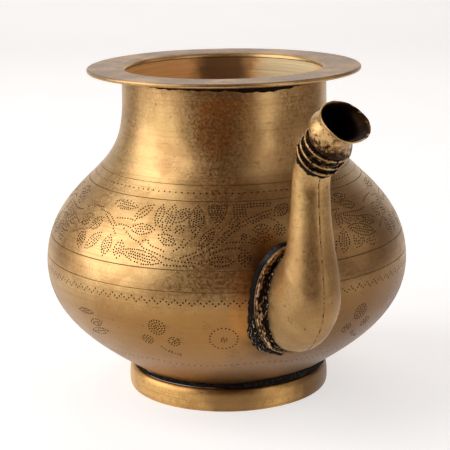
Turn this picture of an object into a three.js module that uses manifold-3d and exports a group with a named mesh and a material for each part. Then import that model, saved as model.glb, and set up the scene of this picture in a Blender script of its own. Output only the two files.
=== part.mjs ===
// A brass water pot: a round belly, a wide neck under a flat flanged rim, a foot ring,
// and an upturned side spout with a flared mouth.
// Sizes are in millimetres, +Z is up, and the spout points along +X. The foot stands on z = 0.

import * as THREE from 'three';
import { mergeVertices } from 'three/addons/utils/BufferGeometryUtils.js';
import Module from 'manifold-3d';

const wasm = await Module();
wasm.setup();

const TURN = Math.PI * 2;
const rad = THREE.MathUtils.degToRad;
const point = (r, z) => new THREE.Vector2(r, z);

// Facets round the pot, round the spout's tube, round its seat and round its mouthpiece
const POT_SIDES = 48;
const TUBE_SIDES = 20;
const SEAT_SIDES = 34;
const MOUTH_SIDES = 24;

// Clearance between pieces that touch on the real pot
const GAP = 0.3;

// The body is two raised shells, lapped and brazed a little above the widest point
const WALL = 1.6;
const FLOOR_HEIGHT = 5;
const FLOOR_RADIUS = 27;
const BOWL_START = point(40, 9.8);
const BOWL_START_SLOPE = rad(36.9);
const BELLY = point(80.8, 58.8);
const SHOULDER = point(60.7, 96.8);
const SHOULDER_SLOPE = rad(43.1);
const NECK = point(45, 134.7);
const NECK_TOP_HEIGHT = 142.7;
const SEAM_HEIGHT = 64.1;
const LAP_LENGTH = 5;
const LAP_SKIN = 0.65;

// The rim is a flat ring with a rounded edge, laid on the neck
const RIM_TOP = 145;
const RIM_RADIUS = 60.3;
const RIM_THICKNESS = 2;
const RIM_FLAT_INNER = 46.2;
const BORE_RADIUS = 43.4;

// The foot is a low band with a slightly swollen side
const FOOT_RADIUS = 45.4;
const FOOT_INNER = 42.6;
const FOOT_HEIGHT = 10.2;

// The seat is an oval collar round the spout's root, set a little to the spout's right
const SEAT_HEIGHT = 58.8;
const SEAT_SIDE = -0.5;
const SEAT_HALF_WIDTH = 18.1;
const SEAT_HALF_HEIGHT = 21.7;
const SEAT_STANDING = 4.5;
const WATER_HOLE_RADIUS = 11.5;
const WATER_HOLE_HEIGHT = 59;

// The spout's tube: it leaves the belly as an upright oval, turns up as an elbow and narrows to a round tube
const TUBE_WALL = 1.4;
const TUBE_AXIS = 93.6;
const TUBE_RADIUS = 7.35;
const TUBE_ROOT_SIDE = -0.8;
const TUBE_BEND_START = 109.1;
const BEND_RADIUS = 18.6;
const BEND_ANGLE = rad(46.3);
const TWIST = rad(13.7);
const TUBE_END = 3;

// The mouthpiece is measured along its own axis from the end of the tube's bend.
// Its lip leans outward and is pinched into a small pouring corner.
const MOUTH_ROOT = -1.9;
const MOUTH_SHOULDER = 8.9;
const MOUTH_WAIST = 16;
const MOUTH_LENGTH = 21.1;
const MOUTH_RADIUS = 10.2;
const MOUTH_LEAN = rad(7.8);
const MOUTH_CORNER = 1.9;
const MOUTH_CORNER_ANGLE = rad(-33);
const WIRE_BED_RADIUS = 8.15;
const WIRE_RADIUS = 0.6;
const WIRE_RING_RADIUS = 9.05;

const BRASS = { color: 0xb59553, roughness: 0.38, metalness: 1 };
const WORN_BRASS = { color: 0xa88a55, roughness: 0.45, metalness: 1 };
const BRIGHT_BRASS = { color: 0xc9a962, roughness: 0.3, metalness: 1 };
const SOLDER = { color: 0x332c24, roughness: 0.75, metalness: 0.5 };

// Solids

function toSolid(geometry) {
  const bare = geometry.clone();
  bare.deleteAttribute('normal');
  bare.deleteAttribute('uv');
  const merged = mergeVertices(bare, 1e-4);
  return new wasm.Manifold(new wasm.Mesh({
    numProp: 3,
    vertProperties: Float32Array.from(merged.attributes.position.array),
    triVerts: Uint32Array.from(merged.index.array),
  }));
}

function fromSolid(solid) {
  const mesh = solid.getMesh();
  const geometry = new THREE.BufferGeometry();
  geometry.setAttribute('position', new THREE.BufferAttribute(mesh.vertProperties, 3));
  geometry.setIndex(new THREE.BufferAttribute(mesh.triVerts, 1));
  return geometry;
}

// A closed skin over a grid of points whose rows join end to end.
// The rows either run round in a ring themselves, or stop at two flat caps.
function skin(rows, ringOfRows) {
  const across = rows[0].length;
  const positions = rows.flat().flatMap((p) => [p.x, p.y, p.z]);
  const index = [];
  const at = (i, j) => (i % rows.length) * across + (j % across);
  const steps = ringOfRows ? rows.length : rows.length - 1;
  for (let i = 0; i < steps; i += 1) {
    for (let j = 0; j < across; j += 1) {
      index.push(at(i, j), at(i + 1, j), at(i + 1, j + 1));
      index.push(at(i, j), at(i + 1, j + 1), at(i, j + 1));
    }
  }
  if (!ringOfRows) {
    const last = rows.length - 1;
    for (let j = 0; j < across / 2 - 1; j += 1) {
      const k = across - 1 - j;
      index.push(at(0, j), at(0, j + 1), at(0, k));
      index.push(at(0, j + 1), at(0, k - 1), at(0, k));
      index.push(at(last, j), at(last, k), at(last, j + 1));
      index.push(at(last, j + 1), at(last, k), at(last, k - 1));
    }
  }
  return facingOut(positions, index);
}

function facingOut(positions, index) {
  let volume = 0;
  const corner = (i) => new THREE.Vector3().fromArray(positions, index[i] * 3);
  for (let i = 0; i < index.length; i += 3) {
    volume += corner(i).dot(corner(i + 1).cross(corner(i + 2)));
  }
  if (volume < 0) {
    for (let i = 0; i < index.length; i += 3) {
      [index[i + 1], index[i + 2]] = [index[i + 2], index[i + 1]];
    }
  }
  const geometry = new THREE.BufferGeometry();
  geometry.setAttribute('position', new THREE.Float32BufferAttribute(positions, 3));
  geometry.setIndex(index);
  return geometry;
}

// A turned piece, from a profile of (radius, height) that closes on itself or ends on the axis
function turned(profile, sides = POT_SIDES) {
  return new THREE.LatheGeometry(profile, sides).rotateX(Math.PI / 2);
}

// A ring round the pot's axis whose section changes with the angle
function ring(sectionAt, sides) {
  const rows = [];
  for (let i = 0; i < sides; i += 1) {
    const angle = i * TURN / sides;
    rows.push(sectionAt(angle).map(([r, z]) => new THREE.Vector3(r * Math.cos(angle), r * Math.sin(angle), z)));
  }
  return skin(rows, true);
}

// Hand-run solder swells and thins along a joint: a value from about -1 to 1
function ragged(angle, shift = 0) {
  const slow = 0.45 * Math.sin(3 * angle + 0.4 + shift);
  const medium = 0.35 * Math.sin(7 * angle + 1.9 + 2 * shift);
  return slow + medium + 0.2 * Math.sin(13 * angle + 4.1 + 3 * shift);
}

// The body's outline

const bowlCurve = new THREE.CubicBezierCurve(
  BOWL_START,
  point(BOWL_START.x + 19.8 * Math.cos(BOWL_START_SLOPE), BOWL_START.y + 19.8 * Math.sin(BOWL_START_SLOPE)),
  point(BELLY.x, BELLY.y - 24.5),
  BELLY,
);

const shoulderCurve = new THREE.CubicBezierCurve(
  BELLY,
  point(BELLY.x, BELLY.y + 18.2),
  point(SHOULDER.x + 13 * Math.cos(SHOULDER_SLOPE), SHOULDER.y - 13 * Math.sin(SHOULDER_SLOPE)),
  SHOULDER,
);

const neckCurve = new THREE.CubicBezierCurve(
  SHOULDER,
  point(SHOULDER.x - 16.3 * Math.cos(SHOULDER_SLOPE), SHOULDER.y + 16.3 * Math.sin(SHOULDER_SLOPE)),
  point(NECK.x, NECK.y - 20.6),
  NECK,
);

function curveAtHeight(height) {
  if (height < BELLY.y) return bowlCurve;
  return height < SHOULDER.y ? shoulderCurve : neckCurve;
}

function parameterAtHeight(curve, height) {
  let low = 0;
  let high = 1;
  for (let i = 0; i < 40; i += 1) {
    const middle = (low + high) / 2;
    if (curve.getPoint(middle).y < height) low = middle;
    else high = middle;
  }
  return (low + high) / 2;
}

// A point of the wall at a depth under the outline
function wallPoint(curve, t, depth) {
  const surface = curve.getPoint(t);
  const along = curve.getTangent(t);
  return point(surface.x - depth * along.y, surface.y + depth * along.x);
}

function wallLine(curve, from, to, steps, depth) {
  const line = [];
  for (let i = 0; i <= steps; i += 1) {
    line.push(wallPoint(curve, THREE.MathUtils.lerp(from, to, i / steps), depth));
  }
  return line;
}

function wallAtHeight(height, depth) {
  const curve = curveAtHeight(height);
  return wallPoint(curve, parameterAtHeight(curve, height), depth);
}

// The pieces turned about the pot's axis

function floorLine(depth) {
  const corner = point(BOWL_START.x - (BOWL_START.y - FLOOR_HEIGHT) / Math.tan(BOWL_START_SLOPE), FLOOR_HEIGHT);
  const bend = new THREE.QuadraticBezierCurve(point(FLOOR_RADIUS, FLOOR_HEIGHT), corner, BOWL_START);
  return wallLine(bend, 0, 0.8, 3, depth);
}

function lowerBowl() {
  const seam = parameterAtHeight(shoulderCurve, SEAM_HEIGHT);
  const lapTop = parameterAtHeight(shoulderCurve, SEAM_HEIGHT + LAP_LENGTH);
  const lapDepth = LAP_SKIN + GAP;
  return turned([
    point(0, FLOOR_HEIGHT),
    ...floorLine(0),
    ...wallLine(bowlCurve, 0, 1, 11, 0),
    wallPoint(shoulderCurve, seam, 0),
    wallPoint(shoulderCurve, seam, lapDepth),
    wallPoint(shoulderCurve, lapTop, lapDepth),
    wallPoint(shoulderCurve, lapTop, WALL),
    ...wallLine(bowlCurve, 1, 0, 8, WALL),
    ...floorLine(WALL).reverse(),
    point(0, FLOOR_HEIGHT + WALL),
  ]);
}

function upperBody() {
  const seam = parameterAtHeight(shoulderCurve, SEAM_HEIGHT + GAP);
  const lapTop = parameterAtHeight(shoulderCurve, SEAM_HEIGHT + LAP_LENGTH + GAP);
  const outer = [
    ...wallLine(shoulderCurve, seam, 1, 7, 0),
    ...wallLine(neckCurve, 0, 1, 8, 0).slice(1),
    point(NECK.x, NECK_TOP_HEIGHT),
  ];
  const inner = [
    point(NECK.x - WALL, NECK_TOP_HEIGHT),
    ...wallLine(neckCurve, 1, 0, 7, WALL),
    ...wallLine(shoulderCurve, 1, lapTop, 5, WALL).slice(1),
    wallPoint(shoulderCurve, lapTop, LAP_SKIN),
    wallPoint(shoulderCurve, seam, LAP_SKIN),
  ];
  return turned([...outer, ...inner, outer[0]]);
}

// The whole body as one block, grown by a clearance, to cut other pieces back to its surface
function bodyBlock(grown) {
  return toSolid(turned([
    point(0, 0),
    wallPoint(bowlCurve, 0, -grown),
    ...wallLine(bowlCurve, 0, 1, 11, -grown).slice(1),
    ...wallLine(shoulderCurve, parameterAtHeight(shoulderCurve, SEAM_HEIGHT + GAP), 1, 7, -grown),
    point(0, SHOULDER.y),
  ]));
}

function rimFlange() {
  const round = RIM_THICKNESS / 2;
  const lip = (angle) => point(
    RIM_FLAT_INNER - (RIM_FLAT_INNER - BORE_RADIUS) * Math.sin(angle),
    RIM_TOP - RIM_THICKNESS * (1 - Math.cos(angle)),
  );
  return turned([
    point(BORE_RADIUS, RIM_TOP - RIM_THICKNESS),
    point(RIM_RADIUS - round, RIM_TOP - RIM_THICKNESS),
    point(RIM_RADIUS - 0.25, RIM_TOP - 1.6),
    point(RIM_RADIUS, RIM_TOP - round),
    point(RIM_RADIUS - 0.2, RIM_TOP - 0.45),
    point(RIM_RADIUS - 0.7, RIM_TOP),
    lip(0),
    lip(rad(35)),
    lip(rad(65)),
    point(BORE_RADIUS, RIM_TOP - RIM_THICKNESS),
  ]);
}

function rimSolder() {
  const top = RIM_TOP - RIM_THICKNESS - GAP;
  const inner = NECK.x + GAP;
  return ring((angle) => {
    const drop = 3.7 + 0.8 * ragged(angle);
    const bulge = 1.6 + 0.35 * ragged(angle, 1.3);
    return [
      [inner, top],
      [inner + bulge + 0.5, top],
      [inner + bulge, top - 0.45 * drop],
      [inner + 0.3 * bulge, top - 0.85 * drop],
      [inner, top - drop],
    ];
  }, POT_SIDES);
}

function footRing() {
  return turned([
    point(FOOT_INNER, 0),
    point(FOOT_RADIUS - 0.8, 0),
    point(FOOT_RADIUS - 0.3, 0.6),
    point(FOOT_RADIUS, 3.2),
    point(FOOT_RADIUS - 0.1, 6),
    point(FOOT_RADIUS - 0.55, 9),
    point(FOOT_RADIUS - 1.3, FOOT_HEIGHT),
    point(FOOT_INNER, FOOT_HEIGHT),
    point(FOOT_INNER, 0),
  ]);
}

function footSolder() {
  const bottom = FOOT_HEIGHT + GAP;
  return ring((angle) => {
    const swell = ragged(angle, 2.1);
    const topHeight = 13.4 + 0.5 * swell;
    const top = wallAtHeight(topHeight, -GAP);
    const inner = wallAtHeight(12.2, -GAP);
    return [
      [FOOT_INNER + 0.5, bottom],
      [FOOT_RADIUS - 0.9, bottom],
      [FOOT_RADIUS - 0.45 + 0.35 * swell, 0.6 * bottom + 0.4 * topHeight],
      [top.x + 0.5, top.y - 0.2],
      [top.x, top.y],
      [inner.x, inner.y],
    ];
  }, POT_SIDES);
}

// The spout's tube

// The tube's upper line, on the neck's side, and its lower line, on the outer side, in the plane of the spout
const upperLine = new THREE.CubicBezierCurve(
  point(73, 77.6), point(86, 78.2), point(83.3, 88), point(TUBE_AXIS - TUBE_RADIUS, TUBE_BEND_START),
);
const bellyLine = new THREE.CubicBezierCurve(
  point(73, 37.2), point(91, 36.8), point(106.5, 50), point(106.5, 66),
);
const risingLine = new THREE.CubicBezierCurve(
  point(106.5, 66), point(106.5, 73), point(101.2, 88), point(TUBE_AXIS + TUBE_RADIUS, TUBE_BEND_START),
);
const halfWidths = new THREE.CubicBezierCurve(
  point(0, 15), point(1 / 3, 13.1), point(2 / 3, 8.4), point(1, TUBE_RADIUS),
);

// The bend at the top lies in a plane turned a little from the spout's own, about the tube's upright axis
function turnedPlane(along, across, height) {
  return new THREE.Vector3(
    TUBE_AXIS + along * Math.cos(TWIST) - across * Math.sin(TWIST),
    along * Math.sin(TWIST) + across * Math.cos(TWIST),
    height,
  );
}

function elbowStation(t) {
  const upper = upperLine.getPoint(t);
  const lower = t < 0.5 ? bellyLine.getPoint(2 * t) : risingLine.getPoint(2 * t - 1);
  const side = TUBE_ROOT_SIDE * (1 - t) ** 2;
  const centre = new THREE.Vector3((upper.x + lower.x) / 2, side, (upper.y + lower.y) / 2);
  return {
    centre,
    outward: new THREE.Vector3(lower.x - centre.x, 0, lower.y - centre.z),
    across: new THREE.Vector3(0, halfWidths.getPoint(t).y, 0),
  };
}

// Unit vectors of the bend's own plane: to its outer side, and straight across
function bendAxes(angle) {
  const origin = turnedPlane(0, 0, 0);
  return {
    outward: turnedPlane(Math.cos(angle), 0, -Math.sin(angle)).sub(origin),
    across: turnedPlane(0, 1, 0).sub(origin),
  };
}

// The tube's own vectors are turned back by the twist, so that its seams run on straight from the elbow
function bendStation(angle) {
  const along = BEND_RADIUS * (1 - Math.cos(angle));
  const height = TUBE_BEND_START + BEND_RADIUS * Math.sin(angle);
  const { outward, across } = bendAxes(angle);
  const mix = (first, second) => outward.clone()
    .multiplyScalar(first * TUBE_RADIUS)
    .addScaledVector(across, second * TUBE_RADIUS);
  return {
    centre: turnedPlane(along, 0, height),
    outward: mix(Math.cos(TWIST), -Math.sin(TWIST)),
    across: mix(Math.sin(TWIST), Math.cos(TWIST)),
  };
}

const bendEnd = bendStation(BEND_ANGLE);
const mouthAxes = bendAxes(BEND_ANGLE);
const mouthAxis = new THREE.Vector3().crossVectors(mouthAxes.across, mouthAxes.outward).negate();

function straightStation(distance) {
  return {
    centre: bendEnd.centre.clone().addScaledVector(mouthAxis, distance),
    outward: bendEnd.outward,
    across: bendEnd.across,
  };
}

function tubeStations() {
  const stations = [];
  const elbowSteps = 12;
  for (let i = 0; i <= elbowSteps; i += 1) stations.push(elbowStation(i / elbowSteps));
  for (const share of [0.3, 0.65, 1]) stations.push(bendStation(BEND_ANGLE * share));
  stations.push(straightStation(TUBE_END));
  return stations;
}

// A point round a station: angle 0 is the outer line, a quarter turn is straight across
function stationPoint(station, angle, grown) {
  const outward = station.outward.clone().setLength(station.outward.length() + grown);
  const across = station.across.clone().setLength(station.across.length() + grown);
  return station.centre.clone()
    .addScaledVector(outward, Math.cos(angle))
    .addScaledVector(across, Math.sin(angle));
}

// The tube as a solid bar, grown by a clearance, to cut the pieces round it
function tubeBar(grown, swell = () => 0) {
  const rows = tubeStations().map((station) => {
    const row = [];
    for (let i = 0; i < TUBE_SIDES; i += 1) {
      const angle = i * TURN / TUBE_SIDES;
      row.push(stationPoint(station, angle, grown + swell(angle)));
    }
    return row;
  });
  return toSolid(skin(rows, false));
}

// One half of the tube, split down the spout's plane; side is 1 for the +Y half and -1 for the other
function tubeHalf(side) {
  const steps = TUBE_SIDES / 2;
  const rows = tubeStations().map((station) => {
    const seam = (grown) => Math.asin((GAP / 2) / (station.across.length() + grown));
    const arc = (grown) => {
      const line = [];
      for (let i = 0; i <= steps; i += 1) {
        const plain = i * Math.PI / steps;
        const angle = THREE.MathUtils.clamp(plain, seam(grown), Math.PI - seam(grown));
        line.push(stationPoint(station, side * angle, grown));
      }
      return line;
    };
    return [...arc(0), ...arc(-TUBE_WALL).reverse()];
  });
  return fromSolid(toSolid(skin(rows, false)).subtract(bodyBlock(GAP)));
}

// The oval seat on the belly

// A point near the oval: outward along the belly from the seat's edge, and up from the belly's surface
function seatPoint(angle, outward, raised) {
  const height = SEAT_HEIGHT + (SEAT_HALF_HEIGHT + outward) * Math.sin(angle);
  const across = SEAT_SIDE + (SEAT_HALF_WIDTH + outward) * Math.cos(angle);
  const curve = curveAtHeight(height);
  const t = parameterAtHeight(curve, height);
  const surface = curve.getPoint(t);
  const raisedPoint = wallPoint(curve, t, -raised);
  const turn = Math.asin(across / surface.x);
  return new THREE.Vector3(raisedPoint.x * Math.cos(turn), raisedPoint.x * Math.sin(turn), raisedPoint.y);
}

function seatRing(sectionAt) {
  const rows = [];
  for (let i = 0; i < SEAT_SIDES; i += 1) {
    const angle = i * TURN / SEAT_SIDES;
    rows.push(sectionAt(angle).map(([outward, raised]) => seatPoint(angle, outward, raised)));
  }
  return toSolid(skin(rows, true));
}

function seatCollar() {
  const collar = seatRing(() => [
    [0, GAP],
    [0, SEAT_STANDING - 1.3],
    [-0.5, SEAT_STANDING - 0.4],
    [-1.5, SEAT_STANDING],
    [-2.7, SEAT_STANDING - 0.3],
    [-7, SEAT_STANDING - 1.2],
    [-7, GAP],
  ]);
  const solderGroove = tubeBar(1.5).subtract(bodyBlock(SEAT_STANDING - 1.9));
  return fromSolid(collar.subtract(tubeBar(GAP)).subtract(solderGroove));
}

function rootSolder() {
  const sleeve = tubeBar(1, (angle) => 0.2 * ragged(angle, 0.7)).subtract(tubeBar(GAP));
  const above = bodyBlock(SEAT_STANDING - 1.9 + GAP);
  return fromSolid(sleeve.intersect(bodyBlock(SEAT_STANDING)).subtract(above));
}

function seatSolder() {
  const runAngle = rad(-135);
  const bead = seatRing((angle) => {
    const off = Math.atan2(Math.sin(angle - runAngle), Math.cos(angle - runAngle));
    const run = 2 * Math.exp(-((off / 0.5) ** 2));
    const spread = 2.9 + run + 0.6 * ragged(angle, 0.2);
    const thick = 1.9 + 0.5 * ragged(angle, 1.1);
    return [
      [GAP, GAP],
      [spread, GAP],
      [0.9 * spread, 0.35 * thick + GAP],
      [0.55 * spread, 0.8 * thick],
      [GAP, thick],
    ];
  });
  return fromSolid(bead);
}

// The mouthpiece and the wires round its root

// Moves a piece modelled along +Z onto the mouthpiece's axis, with +X to the outer side
function ontoMouthAxis(geometry) {
  const place = new THREE.Matrix4().makeBasis(
    mouthAxes.outward,
    mouthAxes.across,
    mouthAxis,
  );
  place.setPosition(straightStation(0).centre);
  return geometry.applyMatrix4(place);
}

function mouthpiece() {
  const bore = TUBE_RADIUS + GAP + 0.05;
  const profile = [
    [bore, MOUTH_ROOT],
    [WIRE_BED_RADIUS, MOUTH_ROOT],
    [WIRE_BED_RADIUS, MOUTH_SHOULDER - 0.3],
    [9.1, MOUTH_SHOULDER],
    [9.2, MOUTH_SHOULDER + 1],
    [9.05, 13],
    [8.95, MOUTH_WAIST],
    [9.25, MOUTH_LENGTH - 2.8],
    [MOUTH_RADIUS - 0.45, MOUTH_LENGTH - 1.2],
    [MOUTH_RADIUS, MOUTH_LENGTH - 0.3],
    [MOUTH_RADIUS - 0.3, MOUTH_LENGTH + 0.1],
    [MOUTH_RADIUS - 0.9, MOUTH_LENGTH],
    [8.4, MOUTH_LENGTH - 2.5],
    [7.9, MOUTH_WAIST],
    [7.9, MOUTH_SHOULDER],
    [bore, TUBE_END + 1.2],
  ];
  const section = (angle) => profile.map(([r, z]) => {
    const nearLip = THREE.MathUtils.smoothstep(z, MOUTH_WAIST - 2, MOUTH_LENGTH);
    const off = Math.atan2(Math.sin(angle - MOUTH_CORNER_ANGLE), Math.cos(angle - MOUTH_CORNER_ANGLE));
    const corner = MOUTH_CORNER * nearLip * Math.exp(-((off / 0.5) ** 2));
    return [r + corner, z + nearLip * r * Math.sin(MOUTH_LEAN) * Math.cos(angle)];
  });
  return ontoMouthAxis(ring(section, MOUTH_SIDES));
}

// Each wire lies a little askew, as wound by hand
function wireRing(height, tilt, tiltTowards) {
  const sides = 6;
  const geometry = ring((angle) => {
    const lift = WIRE_RING_RADIUS * Math.sin(tilt) * Math.cos(angle - tiltTowards);
    const section = [];
    for (let i = 0; i < sides; i += 1) {
      const around = i * TURN / sides;
      section.push([
        WIRE_RING_RADIUS + WIRE_RADIUS * Math.cos(around),
        height + lift + WIRE_RADIUS * Math.sin(around),
      ]);
    }
    return section;
  }, MOUTH_SIDES);
  return ontoMouthAxis(geometry);
}

function wireSolder() {
  const top = MOUTH_ROOT - GAP;
  const inner = TUBE_RADIUS - 0.5;
  const bead = ring((angle) => {
    const outerSide = 0.5 + 0.5 * Math.cos(angle - rad(-20));
    const run = 1.3 + 1.3 * outerSide + 0.5 * ragged(angle, 1.7);
    const bulge = 1.5 + 0.5 * outerSide + 0.2 * ragged(angle, 0.5);
    return [
      [inner, top],
      [inner + bulge, top],
      [inner + bulge, top - 0.5 * run],
      [inner + 0.75 * bulge, top - run],
      [inner, top - run],
    ];
  }, MOUTH_SIDES);
  return fromSolid(toSolid(ontoMouthAxis(bead)).subtract(tubeBar(GAP)));
}

// A round hole in the belly's wall lets the water into the spout
function withWaterHole(geometry) {
  const drill = new THREE.CylinderGeometry(WATER_HOLE_RADIUS, WATER_HOLE_RADIUS, 40, 24);
  drill.rotateZ(Math.PI / 2).translate(BELLY.x, 0, WATER_HOLE_HEIGHT);
  return fromSolid(toSolid(geometry).subtract(toSolid(drill)));
}

// Assembly

const pot = new THREE.Group();

function add(name, geometry, finish) {
  const mesh = new THREE.Mesh(geometry, new THREE.MeshStandardMaterial(finish));
  mesh.name = name;
  pot.add(mesh);
}

add('lower_bowl', withWaterHole(lowerBowl()), BRASS);
add('upper_body', withWaterHole(upperBody()), BRASS);
add('rim_flange', rimFlange(), WORN_BRASS);
add('rim_solder_bead', rimSolder(), SOLDER);
add('foot_ring', footRing(), BRASS);
add('foot_solder_bead', footSolder(), SOLDER);
add('spout_seat_collar', seatCollar(), BRIGHT_BRASS);
add('spout_seat_solder', seatSolder(), SOLDER);
add('spout_root_solder', rootSolder(), SOLDER);
add('spout_left_half', tubeHalf(1), BRASS);
add('spout_right_half', tubeHalf(-1), BRASS);
add('spout_mouthpiece', mouthpiece(), BRIGHT_BRASS);
add('spout_wire_lower', wireRing(-0.9, rad(2.3), rad(172)), WORN_BRASS);
add('spout_wire_middle', wireRing(2.3, rad(3.1), rad(7)), WORN_BRASS);
add('spout_wire_upper', wireRing(6.6, rad(7.4), rad(19)), WORN_BRASS);
add('spout_wire_solder', wireSolder(), SOLDER);

// The origin is under the middle of the whole pot, spout included
const size = new THREE.Box3().setFromObject(pot);
pot.position.x = -(size.min.x + size.max.x) / 2;
pot.position.y = -(size.min.y + size.max.y) / 2;

const waterPot = new THREE.Group();
waterPot.add(pot);

export default waterPot;
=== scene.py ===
"""A worn brass water pot with an upturned spout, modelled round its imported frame."""

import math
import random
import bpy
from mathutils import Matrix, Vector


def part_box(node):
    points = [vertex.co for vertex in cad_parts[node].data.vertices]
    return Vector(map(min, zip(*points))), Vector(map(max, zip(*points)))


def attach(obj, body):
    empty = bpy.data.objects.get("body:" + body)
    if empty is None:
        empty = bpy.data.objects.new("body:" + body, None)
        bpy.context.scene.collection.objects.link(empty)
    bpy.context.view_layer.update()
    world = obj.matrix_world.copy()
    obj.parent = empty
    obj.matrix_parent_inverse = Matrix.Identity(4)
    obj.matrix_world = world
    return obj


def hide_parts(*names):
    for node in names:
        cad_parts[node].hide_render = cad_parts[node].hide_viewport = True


bl_info = {
    "name": "Brass Water Pot",
    "version": (1, 0, 0),
    "blender": (4, 5, 0),
    "location": "3D View > Sidebar > Water Pot",
    "description": "Models a worn, punched brass water pot and its spout around a packed frame",
    "category": "Add Mesh",
}

import bpy
import numpy as np
from bpy.props import FloatProperty, FloatVectorProperty, PointerProperty
from mathutils import Matrix, Vector
from mathutils.geometry import delaunay_2d_cdt

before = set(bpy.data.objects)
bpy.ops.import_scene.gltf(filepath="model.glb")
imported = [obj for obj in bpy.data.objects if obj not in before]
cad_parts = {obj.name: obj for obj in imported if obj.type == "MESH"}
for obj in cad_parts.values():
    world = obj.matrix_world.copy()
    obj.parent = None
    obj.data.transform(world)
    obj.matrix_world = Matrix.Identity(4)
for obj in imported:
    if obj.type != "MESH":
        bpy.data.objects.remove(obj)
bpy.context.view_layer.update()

TURN = 2 * math.pi
FOOT_LOW, FOOT_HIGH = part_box("foot_ring")
AXIS_X = (FOOT_LOW.x + FOOT_HIGH.x) / 2
AXIS_Y = (FOOT_LOW.y + FOOT_HIGH.y) / 2

# The camera stands this many degrees to the side of the spout. Places round the pot are given as
# degrees to the right of the camera's own direction, and heights are in millimetres.
CAMERA_SIDE = 20.5

# The body's outline: points are (radius, height), and slopes are taken from the level
FLOOR_HEIGHT = 5.0
FLOOR_RADIUS = 27.0
BOWL_START = (40.0, 9.8)
BOWL_SLOPE = math.radians(36.9)
BELLY = (80.8, 58.8)
SHOULDER = (60.7, 96.8)
SHOULDER_SLOPE = math.radians(43.1)
NECK = (45.0, 134.7)
NECK_TOP = 142.7

# The seam of the bowl and the shoulder, where the bowl's thinned edge laps inside, and the gap that
# stands for braze between any two pieces
SEAM_HEIGHT = 64.1
LAP_LENGTH = 5.0
LAP_SKIN = 0.65
WALL = 1.6
GAP = 0.3

FOOT_INNER = 42.6

# The oval seat on the belly: its middle, its half sizes along the belly, and how far it stands up
SEAT_HEIGHT = 58.8
SEAT_SIDE = -0.5
SEAT_HALF_WIDTH = 18.1
SEAT_HALF_HEIGHT = 21.7
SEAT_STANDING = 4.5
SEAT_STEPS = 300

# The spout's tube: an elbow that rises from the belly, then a bend in a plane turned by the twist
TUBE_WALL = 1.4
TUBE_AXIS = 93.6
TUBE_RADIUS = 7.35
TUBE_ROOT_SIDE = -0.8
TUBE_BEND_START = 109.1
BEND_RADIUS = 18.6
BEND_ANGLE = math.radians(46.3)
TWIST = math.radians(13.7)
TUBE_END = 3.0

# The mouthpiece and its wires: distances along its own axis from the end of the bend, and radii
MOUTH_ROOT = -1.9
MOUTH_SHOULDER = 8.9
MOUTH_WAIST = 16.0
MOUTH_LENGTH = 21.1
MOUTH_RADIUS = 10.2
MOUTH_LEAN = math.radians(7.8)
MOUTH_CORNER = 1.36
MOUTH_CORNER_ANGLE = math.radians(-33)
OVERHANG = 2.1
OVERHANG_ANGLE = math.radians(45)
DIRTY_SIDE = math.radians(-35)
WIRE_BED_RADIUS = 8.15
WIRE_RING_RADIUS = 9.05
MOUTH_STEPS = 144
WIRE_SIDES = 12

# Each wire's place, its height along the mouthpiece, its tilt and the side it tilts to, and its seed
WIRES = (("lower", -0.9, 2.3, 172, 111), ("middle", 2.3, 3.1, 7, 121), ("upper", 6.6, 7.4, 19, 131))

# An edge sharper than this, in degrees, isn't shaded smooth
SHARP_ANGLE = 38
BEAD_SHARP_ANGLE = 80


class PotSizes(bpy.types.PropertyGroup):
    """Sizes that a maker would change, in metres."""

    rim_radius: FloatProperty(
        name="Rim radius", description="Radius of the flat rim over its rounded edge",
        default=0.0603, unit="LENGTH", precision=5)
    rim_top: FloatProperty(
        name="Rim top", description="Height of the rim's top face",
        default=0.145, unit="LENGTH", precision=5)
    rim_thickness: FloatProperty(
        name="Rim thickness", description="Thickness of the rim at its edge",
        default=0.002, unit="LENGTH", precision=5)
    foot_radius: FloatProperty(
        name="Foot radius", description="Outer radius of the foot ring",
        default=0.0454, unit="LENGTH", precision=5)
    foot_height: FloatProperty(
        name="Foot height", description="Height of the foot ring",
        default=0.0102, unit="LENGTH", precision=5)
    dot_radius: FloatProperty(
        name="Dot radius", description="Radius of one punched dot",
        default=0.0004, unit="LENGTH", precision=5)
    dot_depth: FloatProperty(
        name="Dot depth", description="Depth of one punched dot",
        default=0.0002, unit="LENGTH", precision=5)
    dot_spacing: FloatProperty(
        name="Dot spacing", description="Distance between neighbouring dots in a filled leaf",
        default=0.00114, unit="LENGTH", precision=5)
    wire_radius: FloatProperty(
        name="Wire radius", description="Radius of the wires round the spout's mouthpiece",
        default=0.0006, unit="LENGTH", precision=5)


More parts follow.
